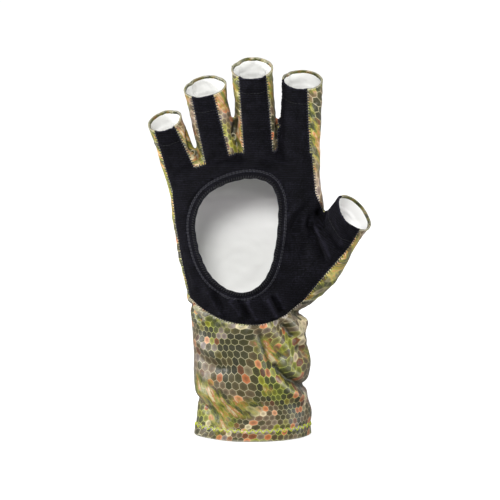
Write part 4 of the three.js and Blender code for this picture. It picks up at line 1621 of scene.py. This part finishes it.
def sew(cloth: Cloth, fields: Fields, finishes: dict[str, bpy.types.Material]) -> None:
    """Sews every seam and hem.

    Args:
        cloth: The folded skin before it is cut.
        fields: The lines that part the panels.
        finishes: The materials by name.
    """
    tree = cloth.tree()
    p = cloth.points
    egg = fields.egg_line(p)

    def kept(value: np.ndarray, test: Callable[[np.ndarray], np.ndarray]) -> list[Line]:
        """Stretches of a line that pass a test of their points."""
        return [run for line in cloth.contour(value) for run in kept_runs(line, test(line.points))]

    def on_hand(q: np.ndarray) -> np.ndarray:
        """Whether points are on the hand, clear of the openings and the wrist seam."""
        return (fields.opening_line(q) < -0.6) & (q[:, 2] > 0.5) & (fields.cuff_line(q) > 0.8)

    lines = {
        "stitch_palm_opening": cloth.contour(egg - 4.2) + cloth.contour(egg - 5.0),
        "stitch_palm_opening_rim": cloth.contour(egg - 1.1),
        "stitch_palm_opening_cover": cloth.contour(egg - 4.6),
        "stitch_palm_seam": kept(fields.palm_line(p), on_hand),
        "stitch_wrist_seam": kept(fields.cuff_line(p), lambda q: fields.palm_line(q) < 0.5),
        "stitch_opening_hems": kept(
            fields.opening_line(p) + OPENING_HEM, lambda q: fields.palm_line(q) < -0.8
        ),
        "stitch_cuff_hem": cloth.contour(fields.edge_line(p) - HEM_HEIGHT + 0.4),
    }
    for stitches in STITCHES:
        stitches.build(lines[stitches.name], tree, finishes[stitches.finish])
    Tacks().build(tree, finishes["thread_cream"])


@dataclass(frozen=True)
class Studio:
    """The floor, the lights and the camera."""

    target: Triple = (-0.0019, 0.0, 0.115)
    elevation: float = 8.0
    distance: float = 1.6
    lens: float = 185.8
    sensor: float = 36.0
    floor_height: float = -0.0019
    floor_glow: float = 0.76
    sky: float = 0.34
    lights: tuple[tuple[str, Triple, float, float], ...] = (
        ("key", (-0.4, -1.45, 1.2), 0.6, 32.0),
        ("left", (-1.6, -0.45, 0.35), 0.35, 24.0),
        ("right", (1.5, -0.7, 0.3), 0.5, 14.0),
    )

    @staticmethod
    def place(made: bpy.types.Object, place: Vector, way: Vector) -> None:
        """Puts a light or the camera at a place, looking a way."""
        made.location = place
        made.rotation_mode = "QUATERNION"
        made.rotation_quaternion = way.to_track_quat("-Z", "Y")

    def camera(self) -> None:
        """Sets the camera at the photograph's angle."""
        data = bpy.data.cameras.new("camera")
        data.sensor_width = self.sensor
        data.lens = self.lens
        data.clip_start, data.clip_end = 0.01, 50.0
        rise = math.radians(self.elevation)
        back = Vector((0.0, -math.cos(rise), math.sin(rise)))
        made = link("camera", data)
        self.place(made, Vector(self.target) + back * self.distance, -back)
        bpy.context.scene.camera = made

    def floor(self) -> None:
        """Lays a wide pale floor."""
        deselect()
        bpy.ops.mesh.primitive_plane_add(size=16.0, location=(0.0, 0.0, self.floor_height))
        made = bpy.context.active_object
        made.name = "floor"
        s = Shader("floor_white")
        s.set(
            Base_Color=(0.86, 0.86, 0.86), Roughness=0.9, Specular_IOR_Level=0.1,
            Emission_Color=(1.0, 1.0, 1.0), Emission_Strength=self.floor_glow,
        )
        made.data.materials.append(s.material)
        made.visible_diffuse = False
        made.visible_glossy = False

    def build(self) -> None:
        """Sets up the whole studio."""
        self.floor()
        world = bpy.data.worlds.new("studio")
        bpy.context.scene.world = world
        world.use_nodes = True
        sky = world.node_tree.nodes["Background"].inputs
        sky["Color"].default_value = (1.0, 1.0, 1.0, 1.0)
        sky["Strength"].default_value = self.sky
        for name, place, size, power in self.lights:
            data = bpy.data.lights.new(name, "AREA")
            data.size = size
            data.energy = power
            self.place(link(name, data), Vector(place), Vector(self.target) - Vector(place))
        bpy.context.scene.view_settings.view_transform = "Standard"
        self.camera()


def main() -> None:
    """Builds the glove and its studio."""
    logging.basicConfig(level=logging.INFO, format="%(message)s")
    Studio().build()
    form = HandForm()
    skin = form.grown()
    log.info("skin: %d triangles", len(skin.faces))
    form.fold(skin)
    finishes = {finish.name: finish.material() for finish in FINISHES}
    sew(Cloth(skin.points.copy(), skin.faces.copy()), form.fields, finishes)
    pieces = form.cut(skin)
    for panel in PANELS:
        panel.build(pieces[panel.node], form.fields, finishes)


if __name__ == "__main__":
    main()
